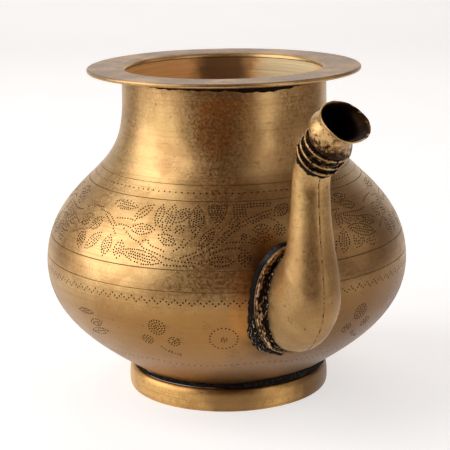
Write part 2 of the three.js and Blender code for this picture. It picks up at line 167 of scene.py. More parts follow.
class PotColours(bpy.types.PropertyGroup):
    """Colours of the brass, its patina and the solder."""

    brass: FloatVectorProperty(
        name="Brass", description="Rubbed, clean old brass",
        default=(0.67, 0.43, 0.185), subtype="COLOR", min=0, max=1)
    foot_brass: FloatVectorProperty(
        name="Foot brass", description="Yellower brass of the foot ring",
        default=(0.74, 0.44, 0.15), subtype="COLOR", min=0, max=1)
    collar_brass: FloatVectorProperty(
        name="Collar brass", description="Paler brass of the spout's seat",
        default=(0.7, 0.48, 0.28), subtype="COLOR", min=0, max=1)
    spout_brass: FloatVectorProperty(
        name="Spout brass", description="Duller brass of the spout's tube",
        default=(0.6, 0.385, 0.16), subtype="COLOR", min=0, max=1)
    wire_brass: FloatVectorProperty(
        name="Wire brass", description="Dark brass of the wires round the mouthpiece",
        default=(0.48, 0.31, 0.15), subtype="COLOR", min=0, max=1)
    brown: FloatVectorProperty(
        name="Brown patina", description="Brown tarnish in the sheltered places",
        default=(0.34, 0.17, 0.06), subtype="COLOR", min=0, max=1)
    olive: FloatVectorProperty(
        name="Olive patina", description="Thin olive tarnish",
        default=(0.44, 0.31, 0.115), subtype="COLOR", min=0, max=1)
    # Painted shade on the belly and the foot: this brown darkens their low, front and right parts, which
    # reflect the dim floor and room and face away from the lamps. On the spout it darkens the tube towards
    # its bottom.
    tarnish: FloatVectorProperty(
        name="Shade and tarnish", description="Brown painted shade low on the belly, on its front and right side",
        default=(0.2, 0.105, 0.042), subtype="COLOR", min=0, max=1)
    dirt: FloatVectorProperty(
        name="Dirt", description="Dark dirt in the punched dots and the creases",
        default=(0.022, 0.012, 0.006), subtype="COLOR", min=0, max=1)
    inside: FloatVectorProperty(
        name="Inside", description="Dull golden brass inside the pot",
        default=(1.0, 0.6, 0.24), subtype="COLOR", min=0, max=1)
    # Painted highlight: this pale colour lights the right of the back wall inside the neck.
    worn: FloatVectorProperty(
        name="Painted highlight inside", description="Painted highlight: pale brass inside the neck",
        default=(1.0, 0.86, 0.52), subtype="COLOR", min=0, max=1)
    # Painted shade: this redder, darker brass is laid low on the belly and on its lower front, where the
    # brass reflects the dim floor.
    warm: FloatVectorProperty(
        name="Warm painted shade", description="Painted shade: redder, darker brass low on the belly and its front",
        default=(0.42, 0.2, 0.045), subtype="COLOR", min=0, max=1)
    stain: FloatVectorProperty(
        name="Stain", description="Dark brown stain round the solder",
        default=(0.1, 0.045, 0.015), subtype="COLOR", min=0, max=1)
    heat: FloatVectorProperty(
        name="Heat tint", description="Orange colour where the torch was held",
        default=(0.5, 0.21, 0.05), subtype="COLOR", min=0, max=1)
    solder: FloatVectorProperty(
        name="Solder", description="Nearly black hard solder",
        default=(0.012, 0.01, 0.009), subtype="COLOR", min=0, max=1)
    # Painted sheen: a grey-blue colour laid on the upper solder of the spout's seat, where the lamp's
    # reflection falls.
    sheen: FloatVectorProperty(
        name="Painted solder sheen", description="Painted grey sheen on the solder's smooth upper part",
        default=(0.07, 0.075, 0.09), subtype="COLOR", min=0, max=1)
    specks: FloatVectorProperty(
        name="Specks", description="Cream and brass specks in the solder",
        default=(0.62, 0.48, 0.3), subtype="COLOR", min=0, max=1)
    film: FloatVectorProperty(
        name="Grey film", description="Dull grey-brown film on the rim's top",
        default=(0.26, 0.185, 0.135), subtype="COLOR", min=0, max=1)


def sizes():
    return bpy.context.scene.water_pot_sizes


def colours():
    return bpy.context.scene.water_pot_colours


def mm(metres):
    return metres * 1000


# Lines and curves


def bezier(points, t):
    """Points of a Bezier curve of any degree at the parameters t."""
    t = np.asarray(t, float)
    layers = [np.multiply.outer(np.ones_like(t), np.asarray(p, float)) for p in points]
    while len(layers) > 1:
        layers = [a + (b - a) * t[..., None] for a, b in zip(layers, layers[1:])]
    return layers[0]


class Outline:
    """The body's outer line, from the edge of its flat floor to the top of the neck."""

    def __init__(self):
        slope = np.array([math.cos(BOWL_SLOPE), math.sin(BOWL_SLOPE)])
        shoulder = np.array([math.cos(SHOULDER_SLOPE), -math.sin(SHOULDER_SLOPE)])
        bowl_start, belly, top, neck = (np.array(p) for p in (BOWL_START, BELLY, SHOULDER, NECK))
        corner = (BOWL_START[0] - (BOWL_START[1] - FLOOR_HEIGHT) / math.tan(BOWL_SLOPE), FLOOR_HEIGHT)
        parts = [
            [(FLOOR_RADIUS, FLOOR_HEIGHT), corner, BOWL_START],
            [BOWL_START, bowl_start + 19.8 * slope, belly - (0, 24.5), BELLY],
            [BELLY, belly + (0, 18.2), top + 13 * shoulder, SHOULDER],
            [SHOULDER, top - 16.3 * shoulder, neck - (0, 20.6), NECK],
            [NECK, (NECK[0], NECK_TOP)],
        ]
        line = np.concatenate([bezier(p, np.linspace(0, 1, 600))[:-1] for p in parts])
        line = np.vstack([line, (NECK[0], NECK_TOP)])
        step = np.hypot(*np.diff(line, axis=0).T)
        self.s = np.concatenate([[0], np.cumsum(step)])
        self.r, self.z = line.T
        along = np.gradient(line, self.s, axis=0)
        along /= np.hypot(*along.T)[:, None]
        self.nr, self.nz = along[:, 1], -along[:, 0]

    def at(self, s):
        return (np.interp(s, self.s, self.r), np.interp(s, self.s, self.z),
                np.interp(s, self.s, self.nr), np.interp(s, self.s, self.nz))

    def along(self, height):
        return np.interp(height, self.z, self.s)

    def radius(self, height):
        return np.interp(height, self.z, self.r)

    def offset(self, s, outwards):
        """Radius and height of a point at a distance off the outer face."""
        r, z, nr, nz = self.at(s)
        return np.stack([r + nr * outwards, z + nz * outwards], axis=-1)


OUTLINE = Outline()


def uneven(angle, seed, turns=(3, 7, 13, 22, 35), amounts=(0.4, 0.3, 0.18, 0.12, 0.09)):
    """Hand-run solder swells and thins along a joint: a value from about -1 to 1."""
    draw = random.Random(seed)
    return sum(amount * np.sin(n * np.asarray(angle) + draw.uniform(0, TURN))
               for n, amount in zip(turns, amounts))


def smooth_step(x, low, high):
    t = np.clip((np.asarray(x, float) - low) / (high - low), 0, 1)
    return t * t * (3 - 2 * t)


def steps_round(count):
    """The angles of equal steps round a full turn."""
    return np.arange(count) * TURN / count


def turned_from(angle, other):
    """The turn from one angle to another, from minus half a turn to half a turn."""
    return np.angle(np.exp(1j * (angle - other)))


def side_of(angle):
    """Degrees to the right of the camera's direction, for angles round the pot."""
    return np.degrees(turned_from(angle, -math.radians(CAMERA_SIDE)))


def cylinder_point(r, angle, z):
    return np.stack([r * np.cos(angle), r * np.sin(angle), z + 0 * r * angle], axis=-1)


# Meshes


def new_mesh(name, points, faces):
    """A mesh from points in millimetres about the pot's axis."""
    points = np.asarray(points, float) * 0.001 + np.array([AXIS_X, AXIS_Y, 0])
    mesh = bpy.data.meshes.new(name)
    mesh.from_pydata(points.tolist(), [], [list(f) for f in faces])
    mesh.update()
    return mesh


def turn_faces_out(points, faces):
    points = np.asarray(points, float)
    volume = 0.0
    for face in faces:
        a, rest = points[face[0]], points[list(face[1:])]
        for b, c in zip(rest, rest[1:]):
            volume += np.dot(a, np.cross(b, c))
    return faces if volume > 0 else [tuple(reversed(f)) for f in faces]


def skin(rows, ring_of_rows):
    """Points and faces of a closed skin over rows whose points join end to end.
    The rows either run round in a ring themselves, or stop at two caps."""
    rows = np.asarray(rows, float)
    count, across = rows.shape[:2]
    faces = []
    steps = count if ring_of_rows else count - 1
    for i in range(steps):
        a, b = i * across, (i + 1) % count * across
        for j in range(across):
            k = (j + 1) % across
            faces.append((a + j, b + j, b + k, a + k))
    if not ring_of_rows:
        last = (count - 1) * across
        for j in range(across // 2 - 1):
            k = across - 1 - j
            faces.append((j, j + 1, k - 1, k))
            faces.append((last + j, last + k, last + k - 1, last + j + 1))
    points = rows.reshape(-1, 3)
    return points, turn_faces_out(points, faces)


def shade(mesh, sharp_angle=SHARP_ANGLE):
    mesh.shade_smooth()
    mesh.set_sharp_from_angle(angle=math.radians(sharp_angle))


def add_piece(name, mesh, material, slot, *nodes):
    """Puts a finished mesh in the scene, on the pot's body and in place of its plain nodes."""
    piece = bpy.data.objects.new(name, mesh)
    bpy.context.scene.collection.objects.link(piece)
    mesh.materials.clear()
    mesh.materials.append(material)
    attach(piece, "root")
    if nodes:
        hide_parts(*nodes)
    return piece


def add_skin(name, rows, ring_of_rows, material, slot, *nodes, sharp_angle=SHARP_ANGLE, dirt=None):
    """dirt gives, for each point of the rows, how much dirt has stayed there; 1 is a full layer."""
    points, faces = skin(rows, ring_of_rows)
    mesh = new_mesh(name, points, faces)
    shade(mesh, sharp_angle)
    if dirt is not None:
        mark_points(mesh, "dirt", np.broadcast_to(dirt, rows.shape[:2]).reshape(-1))
    return add_piece(name, mesh, material, slot, *nodes)


def add_bead(name, rows, material, node):
    """A bead of solder that runs round a joint."""
    return add_skin(name, rows, True, material, "solder", node, sharp_angle=BEAD_SHARP_ANGLE)


def mark_points(mesh, name, values):
    """Writes one value for each point, for the material to read."""
    mark = mesh.attributes.new(name, "FLOAT", "POINT")
    mark.data.foreach_set("value", np.ascontiguousarray(values, dtype=np.float32))


# The punched ornament

# No dot comes nearer than this to the back seam or to the edge of a face
DOT_MARGIN = 1.2

# How full a leaf is towards its ends, the gap of dots along a stem, and the degrees of a row's wave
LEAF_FULLNESS = 0.8
STEM_GAP = 1.35
WAVE_PERIOD = 40.0


class Ornament:
    """Collects punched dots, keeps them apart, and hands them to the body's skins."""

    def __init__(self, spacing, least_gap):
        self.spacing = spacing
        self.least_gap = least_gap
        self.dots = []
        self.cells = {}
        self.draw = random.Random(4)
        self.shift = 0.0

    def place(self, side, s):
        """One dot, at an angle in degrees to the right of the camera and a length along the outline."""
        side += self.shift + self.draw.uniform(-0.09, 0.09)
        s += self.draw.uniform(-0.11, 0.11)
        side = (side + 180) % 360 - 180
        radius = float(np.interp(s, OUTLINE.s, OUTLINE.r))
        if abs(abs(side) - 180) * math.radians(radius) < DOT_MARGIN:
            return
        x, y = math.radians(side) * radius, s
        cell = (int(x // 2), int(y // 2))
        for i in range(-1, 2):
            for j in range(-1, 2):
                for other in self.cells.get((cell[0] + i, cell[1] + j), ()):
                    if math.hypot(other[0] - x, other[1] - y) < self.least_gap:
                        return
        self.cells.setdefault(cell, []).append((x, y))
        self.dots.append((math.radians(side), s))

    def local(self, side, height):
        """A motif's own flat place: its centre, and degrees for one millimetre there."""
        s = float(OUTLINE.along(height))
        return side, s, 1 / math.radians(float(OUTLINE.radius(height)))

    def leaf(self, base, tip, width):
        """A pointed leaf filled with rows of dots, from base to tip, each (side, height)."""
        side, s, degrees = self.local((base[0] + tip[0]) / 2, (base[1] + tip[1]) / 2)
        start = np.array([(base[0] - side) / degrees, OUTLINE.along(base[1]) - s])
        end = np.array([(tip[0] - side) / degrees, OUTLINE.along(tip[1]) - s])
        length = np.hypot(*(end - start))
        along = (end - start) / length
        across = np.array([-along[1], along[0]])

        def put(share, off):
            x, y = start + along * share * length + across * off
            self.place(side + x * degrees, s + y)

        half = 0.5 * (width + 0.9)
        count = int(round(1.08 * length / self.spacing))
        for i in range(count + 1):
            reach = half * max(0.0, math.sin(math.pi * i / count)) ** LEAF_FULLNESS
            for edge in (-1, 1):
                put(i / count, edge * reach)
        rows = int(half / self.spacing) + 1
        for row in range(-rows, rows + 1):
            off = row * self.spacing * 0.95
            for i in range(int(length / self.spacing) + 2):
                share = (i + 0.5 * (row % 2) - 0.3) * self.spacing / length
                reach = half * max(0.0, math.sin(math.pi * share)) ** LEAF_FULLNESS
                if 0 < share < 1 and abs(off) < reach - 0.55 * self.spacing:
                    put(share, off)

    def shield(self, left, right, tip):
        """A filled shape with a straight top between two (side, height) corners, narrowing to a tip."""
        side, s, degrees = self.local(tip[0], (left[1] + tip[1]) / 2)
        top, bottom = OUTLINE.along(left[1]) - s, OUTLINE.along(tip[1]) - s
        corners = [(left[0] - side) / degrees, (right[0] - side) / degrees]
        rows = int(round((top - bottom) / self.spacing))
        for row in range(rows + 1):
            share = row / rows
            narrow = 1 - share ** 2.2
            low, high = corners[0] * narrow, corners[1] * narrow
            count = max(1, int(round((high - low) / self.spacing)))
            for i in range(count + 1):
                x = low + (high - low) * i / count
                y = top + (bottom - top) * share + 0.25 * self.spacing * (i % 2)
                self.place(side + x * degrees, s + y)

    def stem(self, points, width=0.0):
        """Dots along a smooth line through (side, height) points; a width gives a double row."""
        side, s, degrees = self.local(points[len(points) // 2][0], points[len(points) // 2][1])
        flat = np.array([((p[0] - side) / degrees, OUTLINE.along(p[1]) - s) for p in points])
        flat = smooth_line(flat)
        length = np.concatenate([[0], np.cumsum(np.hypot(*np.diff(flat, axis=0).T))])
        count = max(1, int(round(length[-1] / STEM_GAP)))
        for i in range(count + 1):
            here = length[-1] * i / count
            x, y = (np.interp(here, length, flat[:, k]) for k in (0, 1))
            ahead = np.array([np.interp(min(here + 0.5, length[-1]), length, flat[:, k]) for k in (0, 1)])
            behind = np.array([np.interp(max(here - 0.5, 0), length, flat[:, k]) for k in (0, 1)])
            along = (ahead - behind) / max(1e-6, np.hypot(*(ahead - behind)))
            for off in ((0.0,) if width == 0 else (-width / 2, width / 2)):
                self.place(side + (x - along[1] * off) * degrees, s + y + along[0] * off)

    def cluster(self, side, height, radius):
        """A round flower filled with rings of dots."""
        _, s, degrees = self.local(side, height)
        self.place(side, s)
        ring = 1
        while ring * self.spacing * 1.02 <= radius + 0.1:
            reach = ring * self.spacing * 1.02
            count = int(round(TURN * reach / (self.spacing * 1.06)))
            for i in range(count):
                turn = TURN * i / count + ring * 0.7
                self.place(side + reach * math.cos(turn) * degrees, s + reach * math.sin(turn))
            ring += 1

    def ring(self, side, height, radius, count):
        """A circle of dots."""
        _, s, degrees = self.local(side, height)
        for i in range(count):
            turn = TURN * i / count
            self.place(side + radius * math.cos(turn) * degrees, s + radius * math.sin(turn))

    def block(self, low, high):
        """A square filled with rows of dots, between two (side, height) corners."""
        s_low, s_high = OUTLINE.along(low[1]), OUTLINE.along(high[1])
        _, _, degrees = self.local(low[0], (low[1] + high[1]) / 2)
        rows = int((s_high - s_low) / self.spacing)
        columns = int((high[0] - low[0]) / degrees / self.spacing)
        for i in range(rows + 1):
            for j in range(columns + 1):
                self.place(low[0] + j * self.spacing * degrees, s_low + i * self.spacing)

    def row(self, height, gap_degrees, wave=0.0):
        """A row of dots all round at one height, or a long wave of them."""
        count = int(round(360 / gap_degrees))
        for i in range(count):
            side = -180 + 360 * i / count
            rise = wave * math.sin(TURN * side / WAVE_PERIOD)
            self.place(side, float(OUTLINE.along(height + rise)))

    def zigzag(self, low, high, period):
        """A saw-toothed row: low, middle, high, middle."""
        teeth = int(round(360 / period))
        heights = (low, (low + high) / 2, high, (low + high) / 2)
        for i in range(4 * teeth):
            self.place(-180 + 360 * i / (4 * teeth), float(OUTLINE.along(heights[i % 4])))


def smooth_line(points, steps=12):
    """A smooth line through given points."""
    points = np.asarray(points, float)
    if len(points) < 3:
        return points
    padded = np.vstack([2 * points[0] - points[1], points, 2 * points[-1] - points[-2]])
    line = []
    for a, b, c, d in zip(padded, padded[1:], padded[2:], padded[3:]):
        for t in np.arange(steps) / steps:
            line.append(0.5 * (2 * b + (c - a) * t + (2 * a - 5 * b + 4 * c - d) * t ** 2
                               + (3 * b - a - 3 * c + d) * t ** 3))
    return np.vstack([line, points[-1]])


def frieze_unit(ornament):
    """One third of the leafy band on the shoulder."""
    leaf, stem = ornament.leaf, ornament.stem
    leaf((-34.5, 93.6), (-46.6, 93.9), 3.4)
    stem([(-50.5, 90.5), (-45, 89.5), (-41, 87)])
    stem([(-41, 89), (-36, 89.3), (-33, 89)])
    leaf((-34, 89.5), (-28.3, 94.9), 3.0)
    leaf((-24.4, 88.3), (-24.3, 95.2), 2.6)
    leaf((-21.0, 86.0), (-19.6, 95.4), 4.0)
    leaf((-18.7, 89.5), (-13.6, 94.4), 4.2)
    leaf((-10.2, 85.8), (-10.6, 95.6), 5.2)
    leaf((-24.5, 86.6), (-33.7, 86.3), 3.9)
    stem([(-33.7, 86.5), (-38, 87), (-41, 86)])
    leaf((-22.6, 84.9), (-16.2, 82.2), 3.4)
    leaf((-16.9, 86.2), (-14.4, 88.6), 2.6)
    stem([(-23, 88), (-21, 88.6), (-19, 87)])
    leaf((-35.5, 74.8), (-35.4, 81.4), 4.2)
    leaf((-34.5, 77.9), (-20, 75.2), 4.4)
    leaf((-41.2, 74.8), (-40.6, 82.8), 3.9)
    leaf((-50, 75.8), (-44.8, 82.8), 3.6)
    leaf((-53.4, 75.3), (-54, 82.2), 4.2)
    leaf((-57.8, 84), (-53.2, 88), 4.2)
    leaf((-51.5, 83.2), (-47.4, 88), 4.2)
    stem([(-47, 89), (-44, 87.5), (-41, 85.4), (-39, 83.5)])
    stem([(-60, 90), (-56, 91.2), (-51, 91.4)])
    stem([(-60, 80), (-57, 81.5), (-53, 83)])
    ornament.shield((-6.4, 95.5), (0.3, 95.3), (-3.0, 89.2))
    stem([(-3.2, 89), (-2, 88), (-0.6, 86.6)])
    ornament.block((2.9, 91.8), (7.6, 96))
    stem([(8, 95.9), (12.5, 96), (17, 95.8)])
    stem([(8, 95.0), (12.5, 95.1), (16.5, 94.9)])
    leaf((4.6, 91.6), (1, 88.4), 2.6)
    leaf((-8.6, 80.7), (-4.2, 87.8), 3.2)
    leaf((5.2, 74.4), (5.4, 80.2), 3.9)
    leaf((-6, 76.2), (2, 76.2), 3.0)
    ornament.cluster(5.6, 84.9, 1.9)
    ornament.cluster(8.6, 83.4, 1.3)
    leaf((8.8, 87.2), (14.6, 87.4), 3.2)
    leaf((9.2, 84.3), (14.6, 84.4), 2.8)
    ornament.cluster(17.6, 86.6, 2.4)
    leaf((17.2, 91.6), (23.4, 94.8), 3.6)
    stem([(-38, 87), (-35, 85), (-32, 83), (-29, 81.8), (-26.5, 79.8), (-23, 78.8), (-20, 77.5),
          (-17.5, 76.5), (-14, 76), (-10, 75.7), (-6.4, 75.8)])
    stem([(-28.5, 81.9), (-26, 82.9), (-25, 81.5), (-22, 80.3), (-19.7, 79.4)])
    stem([(-13.8, 84), (-14.3, 82.3), (-15, 81), (-16.5, 79.7)])
    stem([(-10.4, 85), (-12.2, 83), (-13.5, 81.2)])
    stem([(-3.5, 82), (-0.4, 85.2), (3, 88), (8, 90.5), (13.5, 92.4), (19, 93.4)], width=1.5)
    stem([(-14, 76.6), (-10, 78.6), (-7, 80.2), (-3.8, 82.2)], width=1.5)
    stem([(-5, 78.7), (-2, 80.3), (1, 81), (3.5, 81), (4.5, 80.4)])
    stem([(0, 83), (3.5, 83.1), (7, 83)])
    stem([(9, 89.4), (12.5, 90.8), (14.5, 91.2), (16, 90.5), (17.7, 89.3)])
    stem([(-20, 74.4), (-15, 74.3), (-10, 74.5)])
    stem([(24, 90), (28, 88.5), (32, 88), (36, 89), (40, 90.5), (44, 90.4)])
    leaf((25, 78), (30, 84.5), 4.4)
    leaf((31, 76), (36.5, 79.5), 3.6)
    leaf((32, 91), (38, 94.5), 3.4)
    leaf((41.5, 83.2), (38.2, 75.2), 4.4)
    leaf((42.4, 89.6), (40.6, 84.2), 2.6)
    leaf((43.8, 83.6), (56, 79.2), 4.4)
    leaf((44.2, 75.6), (47.6, 81), 4.2)
    leaf((43.4, 93.6), (52, 94.3), 3.4)
    stem([(46.5, 87.6), (51, 86.4), (56, 85.6), (60, 84)])
    stem([(44, 88.8), (49, 88.4), (54, 88), (58, 88.4)])
    leaf((51, 75.2), (54, 77.6), 2.8)
    leaf((47.4, 86.4), (58.4, 82.6), 3.4)
    leaf((48.4, 80.6), (50.6, 76.2), 3.0)
    leaf((43.6, 88.2), (46.4, 84.4), 2.6)
    leaf((46.6, 91.6), (53.6, 90.4), 2.8)


def make_ornament():
    """All the dots as (angle, length along the outline). The frieze goes three times round."""
    ornament = Ornament(mm(sizes().dot_spacing), 2.25 * mm(sizes().dot_radius))
    for shift in (0, 120, 240):
        ornament.shift = shift
        frieze_unit(ornament)
    ornament.shift = 0.0
    ornament.row(99.8, 2.6)
    ornament.zigzag(58.9, 60.9, 3.4)
    for shift in (0.0, 66.0, 132.0, 204.0, 270.0):
        ornament.shift = shift
        ornament.cluster(-21.5, 48.2, 3.4)
        ornament.cluster(-25.6, 41.6, 3.0)
        ornament.cluster(-16.8, 41.8, 3.1)
        ornament.stem([(-21.4, 38.6), (-19.6, 36.2), (-16, 34.6)], width=0.9)
    for shift in (0.0, 74.0, 178.0, 244.0):
        ornament.shift = shift
        ornament.ring(-1.3, 43.9, 5.7, 22)
        ornament.cluster(-1.3, 43.6, 1.6)
    ornament.shift = 0.0
    ornament.leaf((-52, 49), (-45, 49.6), 1.4)
    ornament.leaf((-48, 44), (-42, 46), 2.6)
    ornament.leaf((-50, 39), (-41, 42), 2.6)
    ornament.row(28.6, 2.3, wave=0.8)
    return ornament.dots


# The body's walls

# Steps round a wall, the height of its plain rows, the sides of a dot's edge, and the radius at which
# a wall is laid flat to be divided into triangles
COLUMNS = 216
BASE_STEP = 2.4
DOT_SIDES = 6
FLAT_RADIUS = 70.0

# Kinds of points; a line's middle adds the line's number
PLAIN, DOT_EDGE, DOT_MIDDLE, LINE_MIDDLE = 0, 1, 2, 100

# The bowl's punched face starts at this height, and is plain below
FACE_FOOT = 12.6

# Engraved lines round the body: height, half width and depth. A negative depth is a raised line.
GROOVES = ((102.5, 0.17, 0.08), (97.0, 0.22, 0.14), (72.7, 0.22, 0.15), (68.5, 0.3, -0.04))


def column_sides():
    return np.linspace(-math.pi, math.pi, COLUMNS + 1)


def punched_face(s_low, s_high, dots, grooves):
    """The outer face between two lengths along the outline, with each dot sunk in it.
    It gives points, triangles, a normal and a punched value for each corner, and the two edges."""
    dot_radius, dot_depth = mm(sizes().dot_radius), mm(sizes().dot_depth)
    dots = [d for d in dots if s_low + DOT_MARGIN < d[1] < s_high - DOT_MARGIN]
    groove_s = [(float(OUTLINE.along(h)), half, depth) for h, half, depth in grooves]
    groove_s = [g for g in groove_s if s_low + 1 < g[0] < s_high - 1]
    dots = [d for d in dots if all(abs(d[1] - g[0]) > dot_radius + g[1] + 0.1 for g in groove_s)]
    sides = column_sides()
    flat, kinds, edges = [], [], []

    def add(side, s, kind):
        flat.append((side * FLAT_RADIUS, s))
        kinds.append(kind)
        return len(flat) - 1

    def add_row(s, kind):
        return [add(side, s, kind) for side in sides]

    bottom, top = add_row(s_low, PLAIN), add_row(s_high, PLAIN)
    seam_rows = [bottom, top]
    for index, (s, half, _) in enumerate(groove_s):
        for off, kind in ((-half, PLAIN), (0, LINE_MIDDLE + index), (half, PLAIN)):
            row = add_row(s + off, kind)
            edges += list(zip(row, row[1:]))
            seam_rows.append(row)
    rows = max(2, int(round((s_high - s_low) / BASE_STEP)))
    dot_array = np.array(dots) if dots else np.zeros((0, 2))
    for i in range(1, rows):
        s = s_low + (s_high - s_low) * i / rows
        if any(abs(s - g[0]) < g[1] + 0.5 for g in groove_s):
            continue
        radius = float(OUTLINE.at(s)[0])
        near = dot_array[np.abs(dot_array[:, 1] - s) < DOT_MARGIN]
        row = []
        for k, side in enumerate(sides):
            at_seam = k in (0, COLUMNS)
            if len(near) and not at_seam:
                away = np.hypot((near[:, 0] - side) * radius, near[:, 1] - s)
                if away.min() < dot_radius + 0.35:
                    continue
            row.append(add(side, s, PLAIN))
        seam_rows.append([row[0], row[-1]])
    for side, s in dots:
        radius = float(OUTLINE.at(s)[0])
        for angle in steps_round(DOT_SIDES):
            add(side + dot_radius * math.cos(angle) / radius, s + dot_radius * math.sin(angle), DOT_EDGE)
        add(side, s, DOT_MIDDLE)
    found = delaunay_2d_cdt([Vector(p) for p in flat], edges, [], 0, 1e-6)
    place, triangles, origin = found[0], found[2], found[3]
    place = np.array([tuple(p) for p in place])
    kind = np.array([kinds[o[0]] if o else PLAIN for o in origin])
    new_index = {o[0]: i for i, o in enumerate(origin) if o}
    weld = np.arange(len(place))
    for row in seam_rows:
        weld[new_index[row[-1]]] = new_index[row[0]]
    triangles = weld[np.array(triangles)]
    side, s = place[:, 0] / FLAT_RADIUS, place[:, 1]
    r, z, nr, nz = OUTLINE.at(s)
    depth = np.where(kind == DOT_MIDDLE, dot_depth, 0.0)
    for index, (_, _, groove_depth) in enumerate(groove_s):
        depth = np.where(kind == LINE_MIDDLE + index, groove_depth, depth)
    angle = side - math.radians(CAMERA_SIDE)
    normal = np.stack([nr * np.cos(angle), nr * np.sin(angle), nz], axis=1)
    points = cylinder_point(r - nr * depth, angle, z - nz * depth)
    corner_kind = kind[triangles]
    corner_normal = normal[triangles].copy()
    punched = np.zeros(triangles.shape)
    lean = math.atan2(dot_depth, dot_radius) * 1.25
    middles = np.where(corner_kind == DOT_MIDDLE)
    for row, corner in zip(*middles):
        centre = points[triangles[row, corner]]
        punched[row] = 1.0
        for other in range(3):
            if other == corner:
                continue
            inwards = centre - points[triangles[row, other]]
            n = normal[triangles[row, other]]
            inwards -= n * inwards.dot(n)
            inwards /= np.linalg.norm(inwards) + 1e-12
            corner_normal[row, other] = n * math.cos(lean) + inwards * math.sin(lean)
    for index, (s_line, half, groove_depth) in enumerate(groove_s):
        lean_line = math.atan2(groove_depth, half)
        for row in np.where((corner_kind == LINE_MIDDLE + index).any(axis=1))[0]:
            if groove_depth > 0:
                punched[row] = 0.7
            for corner in range(3):
                vertex = triangles[row, corner]
                off = s[vertex] - s_line
                if kind[vertex] == LINE_MIDDLE + index:
                    continue
                n = normal[vertex]
                up = np.array([-nz[vertex] * math.cos(angle[vertex]),
                               -nz[vertex] * math.sin(angle[vertex]), nr[vertex]])
                corner_normal[row, corner] = (n * math.cos(lean_line)
                                              - up * math.copysign(1, off) * math.sin(lean_line))
    bottom, top = ([new_index[i] for i in row[:-1]] for row in (bottom, top))
    return points, triangles, corner_normal, punched, bottom, top


def wall_mesh(name, s_low, s_high, dots, grooves, above, below):
    """A wall with a punched outer face. above and below are lines of (radius, height) that carry the
    skin on from the face's top and bottom edge; a line ends on the axis or at the other edge."""
    points, triangles, normals, punched, bottom, top = punched_face(s_low, s_high, dots, grooves)
    outer_count = len(points)
    points = [tuple(p) for p in points]
    faces = [tuple(t) for t in triangles.tolist()]
    sides = column_sides()[:-1] - math.radians(CAMERA_SIDE)

    def carry_on(start, line, upwards, end=None):
        ring = start
        for r, z in line:
            if r < 1e-6:
                points.append((0.0, 0.0, float(z)))
                tip = len(points) - 1
                for j in range(COLUMNS):
                    k = (j + 1) % COLUMNS
                    faces.append((ring[j], ring[k], tip) if upwards else (ring[k], ring[j], tip))
                return
            first = len(points)
            points.extend(map(tuple, cylinder_point(np.full(COLUMNS, float(r)), sides, float(z))))
            join(ring, list(range(first, first + COLUMNS)), upwards)
            ring = list(range(first, first + COLUMNS))
        if end is not None:
            join(ring, end, upwards)

    def join(a, b, upwards):
        for j in range(COLUMNS):
            k = (j + 1) % COLUMNS
            faces.append((a[j], a[k], b[k], b[j]) if upwards else (a[k], a[j], b[j], b[k]))

    carry_on(top, above, True, bottom if not below else None)
    inner_count = len(points)
    if below:
        carry_on(bottom, below, False)
    used = sorted({i for f in faces for i in f})
    renumber = {old: new for new, old in enumerate(used)}
    mesh = new_mesh(name, [points[i] for i in used], [[renumber[i] for i in f] for f in faces])
    shade(mesh)
    corner_normals = np.empty(len(mesh.loops) * 3)
    mesh.corner_normals.foreach_get("vector", corner_normals)
    corner_normals = corner_normals.reshape(-1, 3)
    corner_normals[:normals.size // 3] = normals.reshape(-1, 3)
    mesh.normals_split_custom_set(corner_normals.tolist())
    mark_points(mesh, "inner", np.array([outer_count <= i < inner_count for i in used], float))
    mark = mesh.attributes.new("punched", "FLOAT", "CORNER")
    values = np.zeros(len(mesh.loops))
    values[:punched.size] = punched.reshape(-1)
    mark.data.foreach_set("value", values)
    return mesh


def wall_line(s_from, s_to, depth, steps):
    """Points of (radius, height) at a depth under the body's outer face."""
    return [tuple(p) for p in OUTLINE.offset(np.linspace(s_from, s_to, steps + 1), -depth)]


def bowl_mesh(dots):
    seam = float(OUTLINE.along(SEAM_HEIGHT))
    low = float(OUTLINE.along(FACE_FOOT))
    lap_top = float(OUTLINE.along(SEAM_HEIGHT + LAP_LENGTH))
    lap_depth = LAP_SKIN + GAP
    above = [tuple(OUTLINE.offset(seam, -lap_depth))]
    above += wall_line(seam, lap_top, lap_depth, 2)[1:]
    above += wall_line(lap_top, 0.0, WALL, 46)
    above += [(r, FLOOR_HEIGHT + WALL) for r in (18.0, 9.0, 0.0)]
    below = wall_line(low, 0.0, 0.0, 12)[1:]
    below += [(r, FLOOR_HEIGHT) for r in (18.0, 9.0, 0.0)]
    return wall_mesh("pot_bowl", low, seam, dots, (), above, below)


def upper_mesh(dots):
    seam = float(OUTLINE.along(SEAM_HEIGHT + GAP))
    lap_top = float(OUTLINE.along(SEAM_HEIGHT + LAP_LENGTH + GAP))
    top = float(OUTLINE.s[-1])
    above = wall_line(top, lap_top, WALL, 44)
    above += wall_line(lap_top, seam, LAP_SKIN, 2)
    return wall_mesh("pot_shoulder_and_neck", seam, top, dots, GROOVES, above, None)


# Turned rings


def ring_rows(section_at, count):
    """Rows round the pot's axis. section_at gives (radius, height) pairs for an array of angles."""
    angles = steps_round(count)
    section = section_at(angles)
    rows = [cylinder_point(r + 0 * angles, angles, z + 0 * angles) for r, z in section]
    return np.stack(rows, axis=1)


